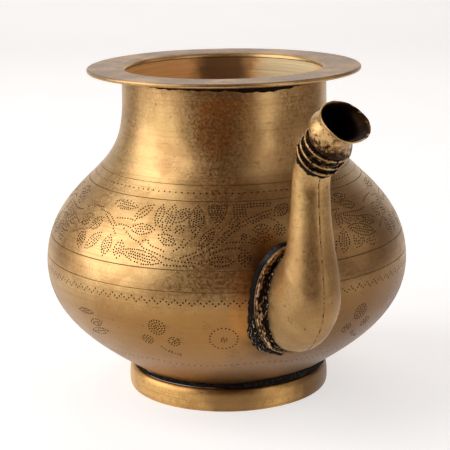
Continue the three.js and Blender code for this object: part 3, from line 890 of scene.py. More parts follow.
def rim_rows():
    top, radius, thick = mm(sizes().rim_top), mm(sizes().rim_radius), mm(sizes().rim_thickness)
    flat_inner, bore = 46.2, 43.4
    half = thick / 2

    def section(angles):
        dent = 0.12 * uneven(angles, 11, (2, 5, 9, 17, 31), (0.5, 0.2, 0.1, 0.1, 0.06))
        dip = 0.1 * uneven(angles, 12, (2, 3, 7, 12, 19), (0.6, 0.3, 0.1, 0.06, 0.04)) - 0.1
        line = [(bore + 0.02, top - thick, 0, 0)]
        for r in (46.5, 50, 54, 57.5):
            line.append((r, top - thick, 0, 0.3 * (r - 46.5) / 14))
        for turn in np.radians([-90, -60, -30, -5, 20, 45, 70, 90]):
            line.append((radius - half + half * math.cos(turn) * 0.98 - 0.02,
                         top - half + half * math.sin(turn), 1, 0.4))
        for r in (57.8, 55.5, 52.5, 49.5):
            line.append((r, top, 0, 0.6 * (r - 46.5) / 12))
        for turn in np.radians([0, 15, 30, 45, 60, 75]):
            line.append((flat_inner - (flat_inner - bore) * math.sin(turn),
                         top - thick * (1 - math.cos(turn)), 0, 0))
        return [(r + dent * a, z + dip * b) for r, z, a, b in line]
    return ring_rows(section, 288)


def foot_rows():
    radius, height, inner = mm(sizes().foot_radius), mm(sizes().foot_height), FOOT_INNER

    def section(angles):
        dent = 0.1 * uneven(angles, 21, (2, 5, 11, 17, 29), (0.5, 0.25, 0.15, 0.1, 0.1))
        nick = 0.12 * uneven(angles, 22, (5, 13, 23, 41, 60), (0.3, 0.3, 0.2, 0.2, 0.2)) - 0.1
        line = [(inner, 0, 0, 0), (inner + 0.9, 0, 0, 0), (radius - 0.9, 0, 0, 0)]
        line += [(radius - 0.5, 0.12, 1, 0), (radius - 0.28, 0.5, 1, 0), (radius - 0.12, 1.4, 1, 0)]
        line += [(radius - 0.03, 2.6, 1, 0), (radius - 0.02, 4.2, 1, 0), (radius - 0.08, 5.8, 1, 0)]
        line += [(radius - 0.22, 7.2, 1, 0), (radius - 0.42, 8.4, 1, 0), (radius - 0.75, 9.3, 0.8, 0.3)]
        line += [(radius - 1.15, height - 0.3, 0.4, 1), (radius - 1.6, height - 0.06, 0, 0.6)]
        line += [(inner + 0.6, height - 0.05, 0, 0), (inner, height - 0.4, 0, 0)]
        line += [(inner, 7.0, 0, 0), (inner, 3.5, 0, 0)]
        return [(r + np.minimum(dent, 0.0) * a, z + np.minimum(nick, 0.0) * b) for r, z, a, b in line]
    return ring_rows(section, 240)


def foot_solder_rows():
    """Thin at the left, full at the right of the front, and high up the bowl there."""
    inner, bottom, radius = FOOT_INNER, mm(sizes().foot_height) + 0.08, mm(sizes().foot_radius)

    def section(angles):
        side = side_of(angles)
        full = 0.15 + 0.85 * smooth_step(np.cos(np.radians(side - 50)), 0.0, 0.95)
        climb = smooth_step(np.cos(np.radians(side - 52)), 0.72, 0.98)
        swell = uneven(angles, 31)
        lump = uneven(angles, 32, (17, 29, 41, 59, 83), (0.3, 0.3, 0.2, 0.2, 0.15))
        height = 11.9 + 0.8 * full + 1.9 * climb + (0.2 + 0.5 * full) * swell + (0.2 + 0.25 * full) * lump
        reach = radius - 1.9 * (1 - full) + 0.3 * full * lump
        s_top = OUTLINE.along(height)
        r_top, z_top = OUTLINE.offset(s_top, 0.1).T
        r_in, z_in = OUTLINE.offset(OUTLINE.along(11.2) + 0 * angles, 0.1).T
        bulge = 0.5 + 0.35 * swell + 0.2 * lump
        return [
            (inner + 0.6, bottom + 0 * angles),
            (reach - 1.3 + 0.2 * lump, bottom + 0 * angles),
            (reach - 0.75 + 0.3 * swell, bottom + 0.5 + 0.1 * lump),
            (reach - 0.5 + 0.45 * bulge * full, 0.62 * bottom + 0.38 * height),
            (np.minimum(r_top + 0.55 * bulge + 0.25, reach - 0.3), 0.25 * bottom + 0.75 * height),
            (r_top + 0.3, z_top - 0.1),
            (r_top, z_top),
            (r_in, z_in),
        ]
    return ring_rows(section, 300)


def rim_solder_rows():
    top = mm(sizes().rim_top) - mm(sizes().rim_thickness) - 0.12
    inner = NECK[0] + 0.1

    def section(angles):
        swell = uneven(angles, 41)
        lump = uneven(angles, 42, (15, 27, 44, 63, 88), (0.3, 0.3, 0.25, 0.2, 0.15))
        side = side_of(angles)
        drop = 2.8 + 0.5 * swell + 0.45 * lump + 1.1 * np.exp(-((side - 24) / 20) ** 2)
        bulge = 1.7 + 0.4 * swell + 0.35 * lump
        return [
            (inner + 0 * angles, top + 0 * angles),
            (inner + bulge + 0.7, top + 0 * angles),
            (inner + bulge + 0.25, top - 0.22 * drop),
            (inner + 0.8 * bulge, top - 0.48 * drop),
            (inner + 0.45 * bulge, top - 0.76 * drop),
            (inner + 0.12, top - drop),
            (inner + 0 * angles, top - drop + 0.1),
        ]
    return ring_rows(section, 300)


# The spout's tube

# Control points, as (x, height), of the elbow's upper line and of its lower line in two parts, and the
# elbow's half widths
UPPER_LINE = ((73, 77.6), (86, 78.2), (83.3, 88), (TUBE_AXIS - TUBE_RADIUS, TUBE_BEND_START))
BELLY_LINE = ((73, 37.2), (91, 36.8), (106.5, 50), (106.5, 66))
RISING_LINE = ((106.5, 66), (106.5, 73), (101.2, 88), (TUBE_AXIS + TUBE_RADIUS, TUBE_BEND_START))
HALF_WIDTHS = ((15.0,), (13.1,), (8.4,), (TUBE_RADIUS,))


def turned_plane(along, across, height):
    """A point of the bend's own plane, turned about the tube's upright axis."""
    return np.stack([TUBE_AXIS + along * math.cos(TWIST) - across * math.sin(TWIST),
                     along * math.sin(TWIST) + across * math.cos(TWIST), height + 0 * along], axis=-1)


def elbow_frame(t):
    """Centre, outward and across vectors of the elbow at parameters from 0 to 1."""
    t = np.asarray(t, float)
    upper = bezier(UPPER_LINE, t)
    lower = np.where((t < 0.5)[..., None], bezier(BELLY_LINE, np.clip(2 * t, 0, 1)),
                     bezier(RISING_LINE, np.clip(2 * t - 1, 0, 1)))
    width = bezier(HALF_WIDTHS, t)[..., 0]
    middle, half = (upper + lower) / 2, (lower - upper) / 2
    zero = np.zeros_like(t)
    centre = np.stack([middle[..., 0], TUBE_ROOT_SIDE * (1 - t) ** 2, middle[..., 1]], axis=-1)
    outward = np.stack([half[..., 0], zero, half[..., 1]], axis=-1)
    return centre, outward, np.stack([zero, width, zero], axis=-1)


def bend_axes(angle):
    """Unit vectors of the bend's own plane: to its outer side, and straight across."""
    zero = np.zeros_like(angle)
    origin = turned_plane(zero, 0, 0)
    return turned_plane(np.cos(angle), 0, -np.sin(angle)) - origin, turned_plane(zero, 1, 0) - origin


def bend_frame(angle):
    """The bend's centre and vectors, turned back by the twist so that the seams run on straight."""
    angle = np.asarray(angle, float)
    centre = turned_plane(BEND_RADIUS * (1 - np.cos(angle)), 0,
                          TUBE_BEND_START + BEND_RADIUS * np.sin(angle))
    outer, side = bend_axes(angle)
    outward = (outer * math.cos(TWIST) - side * math.sin(TWIST)) * TUBE_RADIUS
    across = (outer * math.sin(TWIST) + side * math.cos(TWIST)) * TUBE_RADIUS
    return centre, outward, across


MOUTH_CENTRE = bend_frame(BEND_ANGLE)[0]
MOUTH_OUTWARD, MOUTH_ACROSS = bend_axes(np.array(BEND_ANGLE))
MOUTH_AXIS = np.cross(MOUTH_OUTWARD, MOUTH_ACROSS)


def tube_point(frame_at, angle, grown):
    """A point round the tube: angle 0 is the outer line, a quarter turn is straight across."""
    centre, outward, across = frame_at
    grown = np.asarray(grown, float)[..., None]
    outward = outward * (1 + grown / np.linalg.norm(outward, axis=-1, keepdims=True))
    across = across * (1 + grown / np.linalg.norm(across, axis=-1, keepdims=True))
    return centre + outward * np.cos(angle)[..., None] + across * np.sin(angle)[..., None]


def above_belly(points):
    """How far points stand off the body's outer face."""
    r = np.hypot(points[..., 0], points[..., 1])
    z = points[..., 2]
    s = OUTLINE.along(z)
    surface_r, _, nr, _ = OUTLINE.at(s)
    return (r - surface_r) * nr


def root_parameter(angle, grown, standing):
    """Where along the elbow each of the tube's lines passes a distance off the belly."""
    low, high = np.zeros_like(angle), np.full_like(angle, 0.6)
    for _ in range(40):
        middle = (low + high) / 2
        inside = above_belly(tube_point(elbow_frame(middle), angle, grown)) < standing
        low, high = np.where(inside, middle, low), np.where(inside, high, middle)
    return (low + high) / 2


def root_point(angle, grown, standing):
    return tube_point(elbow_frame(root_parameter(angle, grown, standing)), angle, grown)


def dents(points):
    """The tube's face is a little uneven from hammering."""
    x, y, z = points[..., 0], points[..., 1], points[..., 2]
    return (0.05 * np.sin(0.33 * z + 0.5 * y + 1.0) + 0.04 * np.sin(0.61 * z - 0.7 * x + 2.2)
            + 0.03 * np.sin(1.3 * y + 0.9 * z))


# Steps over half the tube's section, and rows along its elbow and its bend
ARC_STEPS = 40
ELBOW_ROWS = 90
BEND_ROWS = 26


def tube_half_rows(side):
    """One bent half of the tube, with its outer and inner face; side is 1 or -1."""
    def arc(grown):
        seam = GAP / 2 / (TUBE_RADIUS + grown)
        plain = np.linspace(0, math.pi, ARC_STEPS + 1)
        plain[0], plain[-1] = seam, math.pi - seam
        plain[1], plain[-2] = seam + 0.035, math.pi - seam - 0.035
        angle = side * plain
        start = root_parameter(angle, grown, GAP)
        edge = np.zeros(ARC_STEPS + 1)
        if grown == 0:
            edge[[0, -1]] = -0.07
        rows = []
        for q in np.linspace(0, 1, ELBOW_ROWS):
            t = start + (1 - start) * q
            rows.append(tube_point(elbow_frame(t), angle, grown))
        for share in np.linspace(0, 1, BEND_ROWS)[1:]:
            rows.append(tube_point(bend_frame(np.full_like(angle, BEND_ANGLE * share)), angle, grown))
        last = rows[-1]
        for distance in (1.5, TUBE_END):
            rows.append(last + MOUTH_AXIS * distance)
        rows = np.array(rows)
        outward = rows - (rows[:, :1] + rows[:, -1:]) / 2
        outward /= np.linalg.norm(outward, axis=-1, keepdims=True)
        shift = edge[None, :, None] + (dents(rows)[..., None] if grown == 0 else 0)
        return rows + outward * shift

    outer, inner = arc(0.0), arc(-TUBE_WALL)
    return np.concatenate([outer, inner[:, ::-1]], axis=1)


SEAM_ELBOW_STEPS = 200
SEAM_BEND_STEPS = 60
SEAM_STEPS = SEAM_ELBOW_STEPS + SEAM_BEND_STEPS


def seam_strip_rows(angle, seed):
    """Braze that fills the seam nearly flush, and has sunk here and there."""
    t_root = float(root_parameter(np.array([angle]), 0.0, GAP + 0.1)[0])
    t = np.concatenate([np.linspace(t_root, 1, SEAM_ELBOW_STEPS), np.full(SEAM_BEND_STEPS, 1.0)])
    bend = np.concatenate([np.zeros(SEAM_ELBOW_STEPS),
                           np.linspace(0.02, 0.97, SEAM_BEND_STEPS) * BEND_ANGLE])
    centre, outward, across = (np.where((bend > 0)[:, None], b, a)
                               for a, b in zip(elbow_frame(t), bend_frame(bend)))
    along = np.arange(SEAM_STEPS) / SEAM_STEPS * TURN
    low = 0.05 + 0.1 * uneven(along, seed, (5, 11, 23, 47, 71), (0.5, 0.4, 0.4, 0.3, 0.2))
    low = np.clip(low, 0.02, 0.2)
    direction = outward * math.cos(angle)
    length = np.linalg.norm(direction, axis=1, keepdims=True)
    direction = direction / length
    sideways = across / np.linalg.norm(across, axis=1, keepdims=True)
    rows = []
    for off in (-0.12, 0.12):
        rows.append(centre + direction * (length - low[:, None]) + sideways * off)
    for off in (0.12, -0.12):
        rows.append(centre + direction * (length - TUBE_WALL + 0.15) + sideways * off)
    return np.stack(rows, axis=1)


def seam_dirt(seed):
    """Dirt sits in the upper third of the seam, and in dashes below."""
    along = np.arange(SEAM_STEPS) / SEAM_STEPS
    dashes = uneven(along * TURN, seed, (17, 31, 43, 71, 97), (0.5, 0.5, 0.5, 0.4, 0.4))
    upper = smooth_step(along, 0.62, 0.7)
    return (0.3 + 0.45 * upper + 0.5 * dashes)[:, None]


# The oval seat on the belly


def seat_point(angle, outward, raised):
    """A point near the oval: outward along the belly from the seat's edge, and up from its face."""
    height = SEAT_HEIGHT + (SEAT_HALF_HEIGHT + outward) * np.sin(angle)
    across = SEAT_SIDE + (SEAT_HALF_WIDTH + outward) * np.cos(angle)
    r, z, nr, nz = OUTLINE.at(OUTLINE.along(height))
    turn = np.arcsin(across / r)
    return cylinder_point(r + nr * raised, turn, z + nz * raised)


def seat_place(points):
    """The oval's angle and outward distance of points on the belly."""
    r = np.hypot(points[..., 0], points[..., 1])
    across = points[..., 1] / r * OUTLINE.radius(points[..., 2]) - SEAT_SIDE
    up = points[..., 2] - SEAT_HEIGHT
    low, high = np.full(across.shape, -12.0), np.full(across.shape, 12.0)
    for _ in range(40):
        middle = (low + high) / 2
        outside = (across / (SEAT_HALF_WIDTH + middle)) ** 2 + (up / (SEAT_HALF_HEIGHT + middle)) ** 2 > 1
        low, high = np.where(outside, middle, low), np.where(outside, high, middle)
    outward = (low + high) / 2
    angle = np.arctan2(up / (SEAT_HALF_HEIGHT + outward), across / (SEAT_HALF_WIDTH + outward))
    return angle, outward


def seat_edges(angle):
    """For angles round the tube: the oval's angle there, and the seat's outer edge.
    Low down the tube hangs out over the seat, which is only a thin rim there."""
    oval_angle, tube_edge = seat_place(root_point(angle, 0.0, GAP))
    return oval_angle, np.maximum(0.0, tube_edge + 0.45)


def seat_rows(section_at, count):
    angle = steps_round(count)
    return np.stack(section_at(angle), axis=1)


# The lip's section: distance in from the seat's edge, and distance below its highest point
SEAT_LIP = ((0.05, 1.5), (0.2, 0.75), (0.5, 0.25), (0.85, 0.04), (1.2, 0.0), (1.6, 0.16), (2.0, 0.5))


def collar_rows():
    def section(angle):
        oval, edge = seat_edges(angle)
        wave = 0.1 * uneven(angle, 51)
        inner_high = root_point(angle, 0.12, 2.6)
        inner_low = root_point(angle, 0.12, 0.5)
        _, inner_edge = seat_place(inner_high)
        room = np.clip((edge - inner_edge) / 2.2, 0.12, 1.0)
        lip = (SEAT_STANDING - 0.1) * (0.55 + 0.45 * room) + wave * room
        face = [seat_point(oval, edge - inset * room, lip - drop) for inset, drop in SEAT_LIP]
        inner_lip = edge - SEAT_LIP[-1][0] * room
        for share, drop in ((0.3, 0.62), (0.6, 0.8), (0.85, 1.05)):
            outward = inner_lip + share * (inner_edge - inner_lip)
            face.append(seat_point(oval, outward, lip - drop + 0.5 * wave))
        side = [seat_point(oval, edge, 0.3), seat_point(oval, edge + 0.02, 1.4)]
        return side + face + [inner_high, inner_low]
    return seat_rows(section, SEAT_STEPS)


def collar_dirt():
    """The lip is rubbed bright, and black strands run along the tube, most of them low down."""
    angle = steps_round(SEAT_STEPS)
    low = smooth_step(-np.sin(angle), -0.15, 0.9)
    columns = []
    for k, value in enumerate((0.9, 0.7, 0.45, 0.2, 0.1) + (0.05,) * 4 + (0.1, 0.1, 0.15, 0.3, 1.0)):
        strands = 0.3 * uneven(angle, 400 + k, (5, 11, 23, 41, 67), (0.5,) * 5) * (k > 4)
        columns.append(value + (0.42 + 0.03 * k) * low * (2 < k < 13) + strands)
    return np.stack(columns, axis=1)


def seat_solder_rows():
    """It flowed smooth over the seat, and has run out in lumps low at the left."""
    def section(angle):
        oval, edge = seat_edges(angle)
        swell = uneven(angle, 61)
        lump = uneven(angle, 62, (15, 27, 40, 57, 85), (0.3, 0.3, 0.25, 0.2, 0.15))
        run = np.exp(-((turned_from(oval, math.radians(-135)) / 0.55) ** 2))
        rough = smooth_step(np.abs(turned_from(oval, math.radians(120))), 0.5, 1.2)
        spread = 1.7 + 2.9 * run + 0.35 * swell + (0.15 + 0.4 * rough) * lump
        thick = 2.3 + 0.3 * swell + (0.1 + 0.4 * rough) * lump
        return [
            seat_point(oval, edge + 0.1, 0.1),
            seat_point(oval, edge + spread, 0.08),
            seat_point(oval, edge + 0.93 * spread, 0.2 * thick + 0.1),
            seat_point(oval, edge + 0.75 * spread, 0.45 * thick + 0.12 * lump),
            seat_point(oval, edge + 0.5 * spread, 0.75 * thick + 0.15 * swell),
            seat_point(oval, edge + 0.25 * spread, 0.95 * thick),
            seat_point(oval, edge + 0.1, thick),
        ]
    return seat_rows(section, 320)


def root_solder_rows():
    """A broken line between the seat and the tube, fuller low down."""
    def section(angle):
        swell = uneven(angle, 71, (2, 5, 11, 19, 31), (0.3, 0.4, 0.3, 0.2, 0.15))
        lump = uneven(angle, 72, (19, 33, 47, 66, 90), (0.35, 0.3, 0.25, 0.2, 0.2))
        low = smooth_step(-np.sin(angle), -0.45, 0.5)
        size = (0.1 + 0.6 * low) + (0.05 + 0.35 * low) * swell + (0.1 + 0.25 * low) * lump
        size = np.clip(size, 0.03, 1.2)
        rise = 0.4 + 0.6 * low
        return [
            root_point(angle, 0.08, 2.75 * rise),
            root_point(angle, 0.15 + size, 3.1 * rise),
            root_point(angle, 0.12 + 0.85 * size, 3.3 * rise + 0.5 * size),
            root_point(angle, 0.1 + 0.45 * size, 3.4 * rise + 1.1 * size),
            root_point(angle, 0.06, 3.5 * rise + 1.3 * size),
        ]
    return seat_rows(section, 360)


# The mouthpiece and its wires


def onto_mouth_axis(r, angle, along):
    """A point round the mouthpiece's own axis; angle 0 is the outer side."""
    return (MOUTH_CENTRE + (r * np.cos(angle))[..., None] * MOUTH_OUTWARD
            + (r * np.sin(angle))[..., None] * MOUTH_ACROSS + np.asarray(along)[..., None] * MOUTH_AXIS)


def mouth_ring(section, count):
    """Rows round the mouthpiece; section gives (radius, distance) for an array of angles."""
    angle = steps_round(count)
    rows = [onto_mouth_axis(r + 0 * angle, angle, z + 0 * angle) for r, z in section(angle)]
    return np.stack(rows, axis=1)


def mouthpiece_rows():
    """The lip is drawn to a corner, and overhangs the wall, which stands aside under it."""
    bore = TUBE_RADIUS + 0.1

    def section(angle):
        profile = [(bore, MOUTH_ROOT), (WIRE_BED_RADIUS, MOUTH_ROOT)]
        profile += [(WIRE_BED_RADIUS, z) for z in np.linspace(-1, 7.6, 9)]
        profile += [(8.3, 8.2), (8.7, 8.5), (9.05, 8.8), (9.18, 9.2), (9.22, 9.9)]
        profile += [(9.16, 11), (9.08, 12.4), (9.0, 14), (8.96, 15.6), (9.0, 16.8)]
        end = MOUTH_LENGTH
        profile += [(9.04, end - 3.2), (9.14, end - 2.2), (9.38, end - 1.3), (9.8, end - 0.65)]
        profile += [(MOUTH_RADIUS, end - 0.25), (MOUTH_RADIUS - 0.04, end + 0.02)]
        profile += [(MOUTH_RADIUS - 0.18, end + 0.12), (MOUTH_RADIUS - 0.42, end + 0.04)]
        profile += [(MOUTH_RADIUS - 0.7, end - 0.25), (MOUTH_RADIUS - 0.98, end - 0.75)]
        profile += [(8.85, end - 1.6), (8.5, end - 2.7), (8.15, end - 3.9), (7.92, MOUTH_WAIST)]
        profile += [(7.9, 13), (7.9, 10.5), (7.8, MOUTH_SHOULDER), (bore, 6.5), (bore, 4.2), (bore, 1.0)]
        lip_wave = uneven(angle, 81, (2, 4, 7, 12, 19), (0.4, 0.35, 0.25, 0.15, 0.1))
        side_wave = uneven(angle, 82, (3, 5, 8, 13, 21), (0.4, 0.3, 0.25, 0.15, 0.1))
        off = turned_from(angle, MOUTH_CORNER_ANGLE)
        aside = np.cos(angle - OVERHANG_ANGLE)
        result = []
        for r, z in profile:
            near_lip = float(smooth_step(z, MOUTH_WAIST - 2, MOUTH_LENGTH))
            corner = MOUTH_CORNER * near_lip ** 7 * np.exp(-((off / 0.5) ** 2))
            body = float(smooth_step(z, MOUTH_SHOULDER - 1, MOUTH_SHOULDER + 2)) if r > 8.2 else 0.0
            shift = OVERHANG * float(smooth_step(z, 8.4, 13.0))
            set_back = shift * float(1 - smooth_step(z, 18.6, 20.8))
            lean_in = shift * float(1 - smooth_step(z, 12.5, 21.8))
            radius = r + corner + 0.1 * lip_wave * near_lip + 0.06 * side_wave * body
            radius = radius - np.where(aside > 0, set_back, lean_in) * aside
            height = z + near_lip * (r * math.sin(MOUTH_LEAN) * np.cos(angle) + 0.14 * lip_wave)
            result.append((radius, height))
        return result
    return mouth_ring(section, MOUTH_STEPS)


def mouthpiece_dirt():
    """Dark inside and under the wires, stained above them and on the outer side. The lip is bright,
    but for its upper side. One entry stands for each point of the mouthpiece's section."""
    angle = steps_round(MOUTH_STEPS)
    outer_side = 0.5 + 0.5 * np.cos(angle - DIRTY_SIDE)
    under_wires = [0.95] * 2 + [0.75] * 9
    near_wires = [0.4 + 0.4 * outer_side] * 5
    side = [0.24 + 0.4 * outer_side + 0.08 * k for k in (1, 0, -1, -2, -3)]
    flare = [0.15 + 0.35 * outer_side] * 2 + [0.2, 0.1]
    upper_side = smooth_step(np.cos(angle - math.radians(88)), -0.05, 0.5)
    lip = [0.2 * outer_side + 0.6 * upper_side] * 2 + [0.62 * upper_side, 0.1 + 0.6 * upper_side]
    lip += [0.62 + 0.15 * upper_side, 0.78 + 0.1 * upper_side]
    values = under_wires + near_wires + side + flare + lip + [0.88, 0.98, 1.08, 1.15] + [1.2] * 6
    return np.stack([v + 0 * angle for v in values], axis=1)


def wire_rows(height, tilt, side, seed):
    """A round wire, flattened and worn a little along its outer line."""
    radius = mm(sizes().wire_radius)

    def section(angle):
        lift = WIRE_RING_RADIUS * math.sin(math.radians(tilt)) * np.cos(angle - math.radians(side))
        wave = 0.05 * uneven(angle, seed)
        worn = 0.08 * np.minimum(uneven(angle, seed + 1), 0)
        result = []
        for turn in steps_round(WIRE_SIDES):
            reach = radius * (1 - 0.08 * max(0.0, math.cos(turn)))
            result.append((WIRE_RING_RADIUS + wave + (reach + worn * (turn == 0)) * math.cos(turn),
                           height + lift + wave + reach * math.sin(turn)))
        return result
    return mouth_ring(section, MOUTH_STEPS)


def wire_dirt(seed):
    """Bright along the wire's outer line, and dirtier on the mouthpiece's outer side."""
    angle = steps_round(MOUTH_STEPS)
    across = 0.5 - 0.45 * np.cos(steps_round(WIRE_SIDES))[None, :]
    patches = 0.25 * uneven(angle, seed, (5, 11, 19, 31, 47), (0.5,) * 5)
    return across + (0.11 + 0.11 * np.cos(angle - DIRTY_SIDE) + patches)[:, None]


def wire_solder_rows():
    top, inner = MOUTH_ROOT - 0.1, TUBE_RADIUS + 0.08

    def section(angle):
        outer_side = 0.5 + 0.5 * np.cos(angle - math.radians(-20))
        swell, lump = uneven(angle, 91), uneven(angle, 92, (9, 16, 25, 37, 52))
        run = 1.6 + 1.9 * outer_side + 0.6 * swell + 0.5 * lump
        bulge = 0.9 + 0.35 * outer_side + 0.2 * swell + 0.12 * lump
        return [
            (inner + 0 * angle, top + 0 * angle),
            (inner + bulge, top + 0 * angle),
            (inner + bulge + 0.05, top - 0.25 * run),
            (inner + 0.85 * bulge, top - 0.6 * run),
            (inner + 0.5 * bulge, top - 0.9 * run),
            (inner + 0 * angle, top - run),
        ]
    return mouth_ring(section, 160)


# Materials


def link(tree, source, target):
    tree.links.new(source, target)


def feed(tree, socket, value):
    """Sets a socket to a plain value or colour, or links it to another socket."""
    if isinstance(value, bpy.types.NodeSocket):
        link(tree, value, socket)
    elif socket.type == "RGBA":
        socket.default_value = (*value[:3], 1.0)
    else:
        socket.default_value = value


def math_node(tree, operation, a, b=0.0, clamp=False):
    node = tree.nodes.new("ShaderNodeMath")
    node.operation = operation
    node.use_clamp = clamp
    feed(tree, node.inputs[0], a)
    feed(tree, node.inputs[1], b)
    return node.outputs[0]


def times(tree, a, b, clamp=False):
    return math_node(tree, "MULTIPLY", a, b, clamp)


def plus(tree, a, b):
    return math_node(tree, "ADD", a, b)


def minus(tree, a, b):
    return math_node(tree, "SUBTRACT", a, b)


def larger(tree, a, b):
    return math_node(tree, "MAXIMUM", a, b)


def without_sign(tree, value):
    return math_node(tree, "ABSOLUTE", value)


def vector_node(tree, operation, a, b=None):
    node = tree.nodes.new("ShaderNodeVectorMath")
    node.operation = operation
    feed(tree, node.inputs[0], a)
    if b is not None:
        feed(tree, node.inputs[1], b)
    return node.outputs["Value" if operation in ("LENGTH", "DOT_PRODUCT") else "Vector"]


def split(tree, point):
    node = tree.nodes.new("ShaderNodeSeparateXYZ")
    link(tree, point, node.inputs[0])
    return node.outputs


def mix_colour(tree, share, a, b, blend="MIX"):
    node = tree.nodes.new("ShaderNodeMix")
    node.data_type = "RGBA"
    node.blend_type = blend
    feed(tree, node.inputs[0], share)
    feed(tree, node.inputs[6], a)
    feed(tree, node.inputs[7], b)
    return node.outputs[2]


def band(tree, value, low, high, to_low=0.0, to_high=1.0):
    """Spreads the part of a value between two limits over a new range, softly."""
    node = tree.nodes.new("ShaderNodeMapRange")
    node.interpolation_type = "SMOOTHSTEP"
    for label, number in (("From Min", low), ("From Max", high), ("To Min", to_low), ("To Max", to_high)):
        feed(tree, node.inputs[label], number)
    feed(tree, node.inputs["Value"], value)
    return node.outputs[0]


def stretched(tree, point, scale, turn=(0.0, 0.0, 0.0)):
    node = tree.nodes.new("ShaderNodeMapping")
    feed(tree, node.inputs["Vector"], point)
    node.inputs["Scale"].default_value = scale
    node.inputs["Rotation"].default_value = turn
    return node.outputs[0]


def noise(tree, point, scale, detail=3.0, roughness=0.55, distortion=0.0):
    node = tree.nodes.new("ShaderNodeTexNoise")
    feed(tree, node.inputs["Vector"], point)
    feed(tree, node.inputs["Scale"], scale)
    node.inputs["Detail"].default_value = detail
    node.inputs["Roughness"].default_value = roughness
    node.inputs["Distortion"].default_value = distortion
    return node.outputs[0]


SOCKETS = {"value": "NodeSocketFloat", "colour": "NodeSocketColor", "vector": "NodeSocketVector"}


def group(name):
    """The shader node group of that name, built when it is first asked for."""
    if name in bpy.data.node_groups:
        return bpy.data.node_groups[name]
    inputs, outputs, build = GROUPS[name]
    tree = bpy.data.node_groups.new(name, "ShaderNodeTree")
    for way, sockets in (("INPUT", inputs), ("OUTPUT", outputs)):
        for label, kind in sockets.items():
            tree.interface.new_socket(name=label.replace("_", " "), in_out=way, socket_type=SOCKETS[kind])
    entry, leave = tree.nodes.new("NodeGroupInput"), tree.nodes.new("NodeGroupOutput")
    for source, target in zip(build(tree, entry.outputs), leave.inputs):
        link(tree, source, target)
    return tree


def place_group(tree, name, **values):
    """Puts a group into a material; underscores in the given names stand for spaces."""
    node = tree.nodes.new("ShaderNodeGroup")
    node.node_tree = group(name)
    for label, value in values.items():
        feed(tree, node.inputs[label.replace("_", " ")], value)
    return node.outputs


def turning_marks(tree, given):
    """Fine lines left by the lathe round the pot's axis."""
    from_axis = vector_node(tree, "LENGTH", stretched(tree, given["Point"], (1.0, 1.0, 0.0)))
    parts = split(tree, given["Point"])
    section = tree.nodes.new("ShaderNodeCombineXYZ")
    link(tree, from_axis, section.inputs["X"])
    link(tree, times(tree, parts["X"], 0.012), section.inputs["Y"])
    link(tree, parts["Z"], section.inputs["Z"])
    fine = noise(tree, section.outputs[0], 1.05, 4.0, 0.75)
    broad = noise(tree, section.outputs[0], 0.25, 2.0)
    mixed = plus(tree, times(tree, fine, 0.6), times(tree, broad, 0.4))
    return times(tree, mixed, given["Depth"]), band(tree, fine, 0.47, 0.66)


def patina(tree, given):
    """Brown and olive tarnish in soft patches, with a fine mottle over both."""
    cloud = noise(tree, given["Point"], given["Patch scale"], 5.0, 0.6, 0.6)
    brown = times(tree, band(tree, cloud, 0.42, 0.68), given["Brown amount"], clamp=True)
    other = noise(tree, stretched(tree, given["Point"], (0.8, 0.8, 1.3), (0.4, 0.2, 0.9)),
                  given["Patch scale"], 4.0, 0.6)
    olive = times(tree, band(tree, other, 0.45, 0.7), given["Olive amount"], clamp=True)
    mottle = noise(tree, given["Point"], 0.9, 4.0, 0.7)
    colour = mix_colour(tree, olive, given["Clean"], given["Olive"])
    colour = mix_colour(tree, brown, colour, given["Brown"])
    colour = mix_colour(tree, 1.0, colour, band(tree, mottle, 0.3, 0.7, 0.78, 1.1), "MULTIPLY")
    return colour, larger(tree, brown, olive), mottle


def scratches(tree, given):
    """Thin stray scratches in three directions, and small dark pits."""
    marks = None
    for turn, scale in (((0.5, 0.3, 0.2), (0.05, 0.05, 0.6)), ((-0.7, 0.5, 0.1), (0.07, 0.07, 0.8)),
                        ((1.2, -0.4, 0.6), (0.4, 0.05, 0.05))):
        long_noise = noise(tree, stretched(tree, given["Point"], scale, turn), 1.0, 2.0, 0.5)
        line = band(tree, without_sign(tree, minus(tree, long_noise, 0.56)), 0.0, 0.006, 1.0, 0.0)
        marks = line if marks is None else larger(tree, marks, line)
    gate = band(tree, noise(tree, given["Point"], 0.12, 2.0), 0.5, 0.62)
    cells = tree.nodes.new("ShaderNodeTexVoronoi")
    link(tree, given["Point"], cells.inputs["Vector"])
    link(tree, given["Pit scale"], cells.inputs["Scale"])
    pits = band(tree, cells.outputs["Distance"], 0.05, 0.14, 1.0, 0.0)
    wobble = noise(tree, given["Point"], 1.7, 2.0)
    return times(tree, marks, gate), times(tree, pits, band(tree, wobble, 0.5, 0.6))


def oval_place(tree, given):
    """One at an oval place, fading with a ragged edge round it."""
    shaped = vector_node(tree, "DIVIDE", vector_node(tree, "SUBTRACT", given["Point"], given["Centre"]),
                         given["Reach"])
    ragged = noise(tree, given["Point"], 0.11, 3.0)
    distance = plus(tree, vector_node(tree, "LENGTH", shaped), times(tree, ragged, 0.5))
    return (band(tree, distance, 0.95, 1.5, 1.0, 0.0),)


def towards(tree, point, direction):
    """How far a point lies towards a level direction from the pot's axis, from -1 to 1."""
    unit = vector_node(tree, "NORMALIZE", stretched(tree, point, (1.0, 1.0, 0.0)))
    return vector_node(tree, "DOT_PRODUCT", unit, direction)


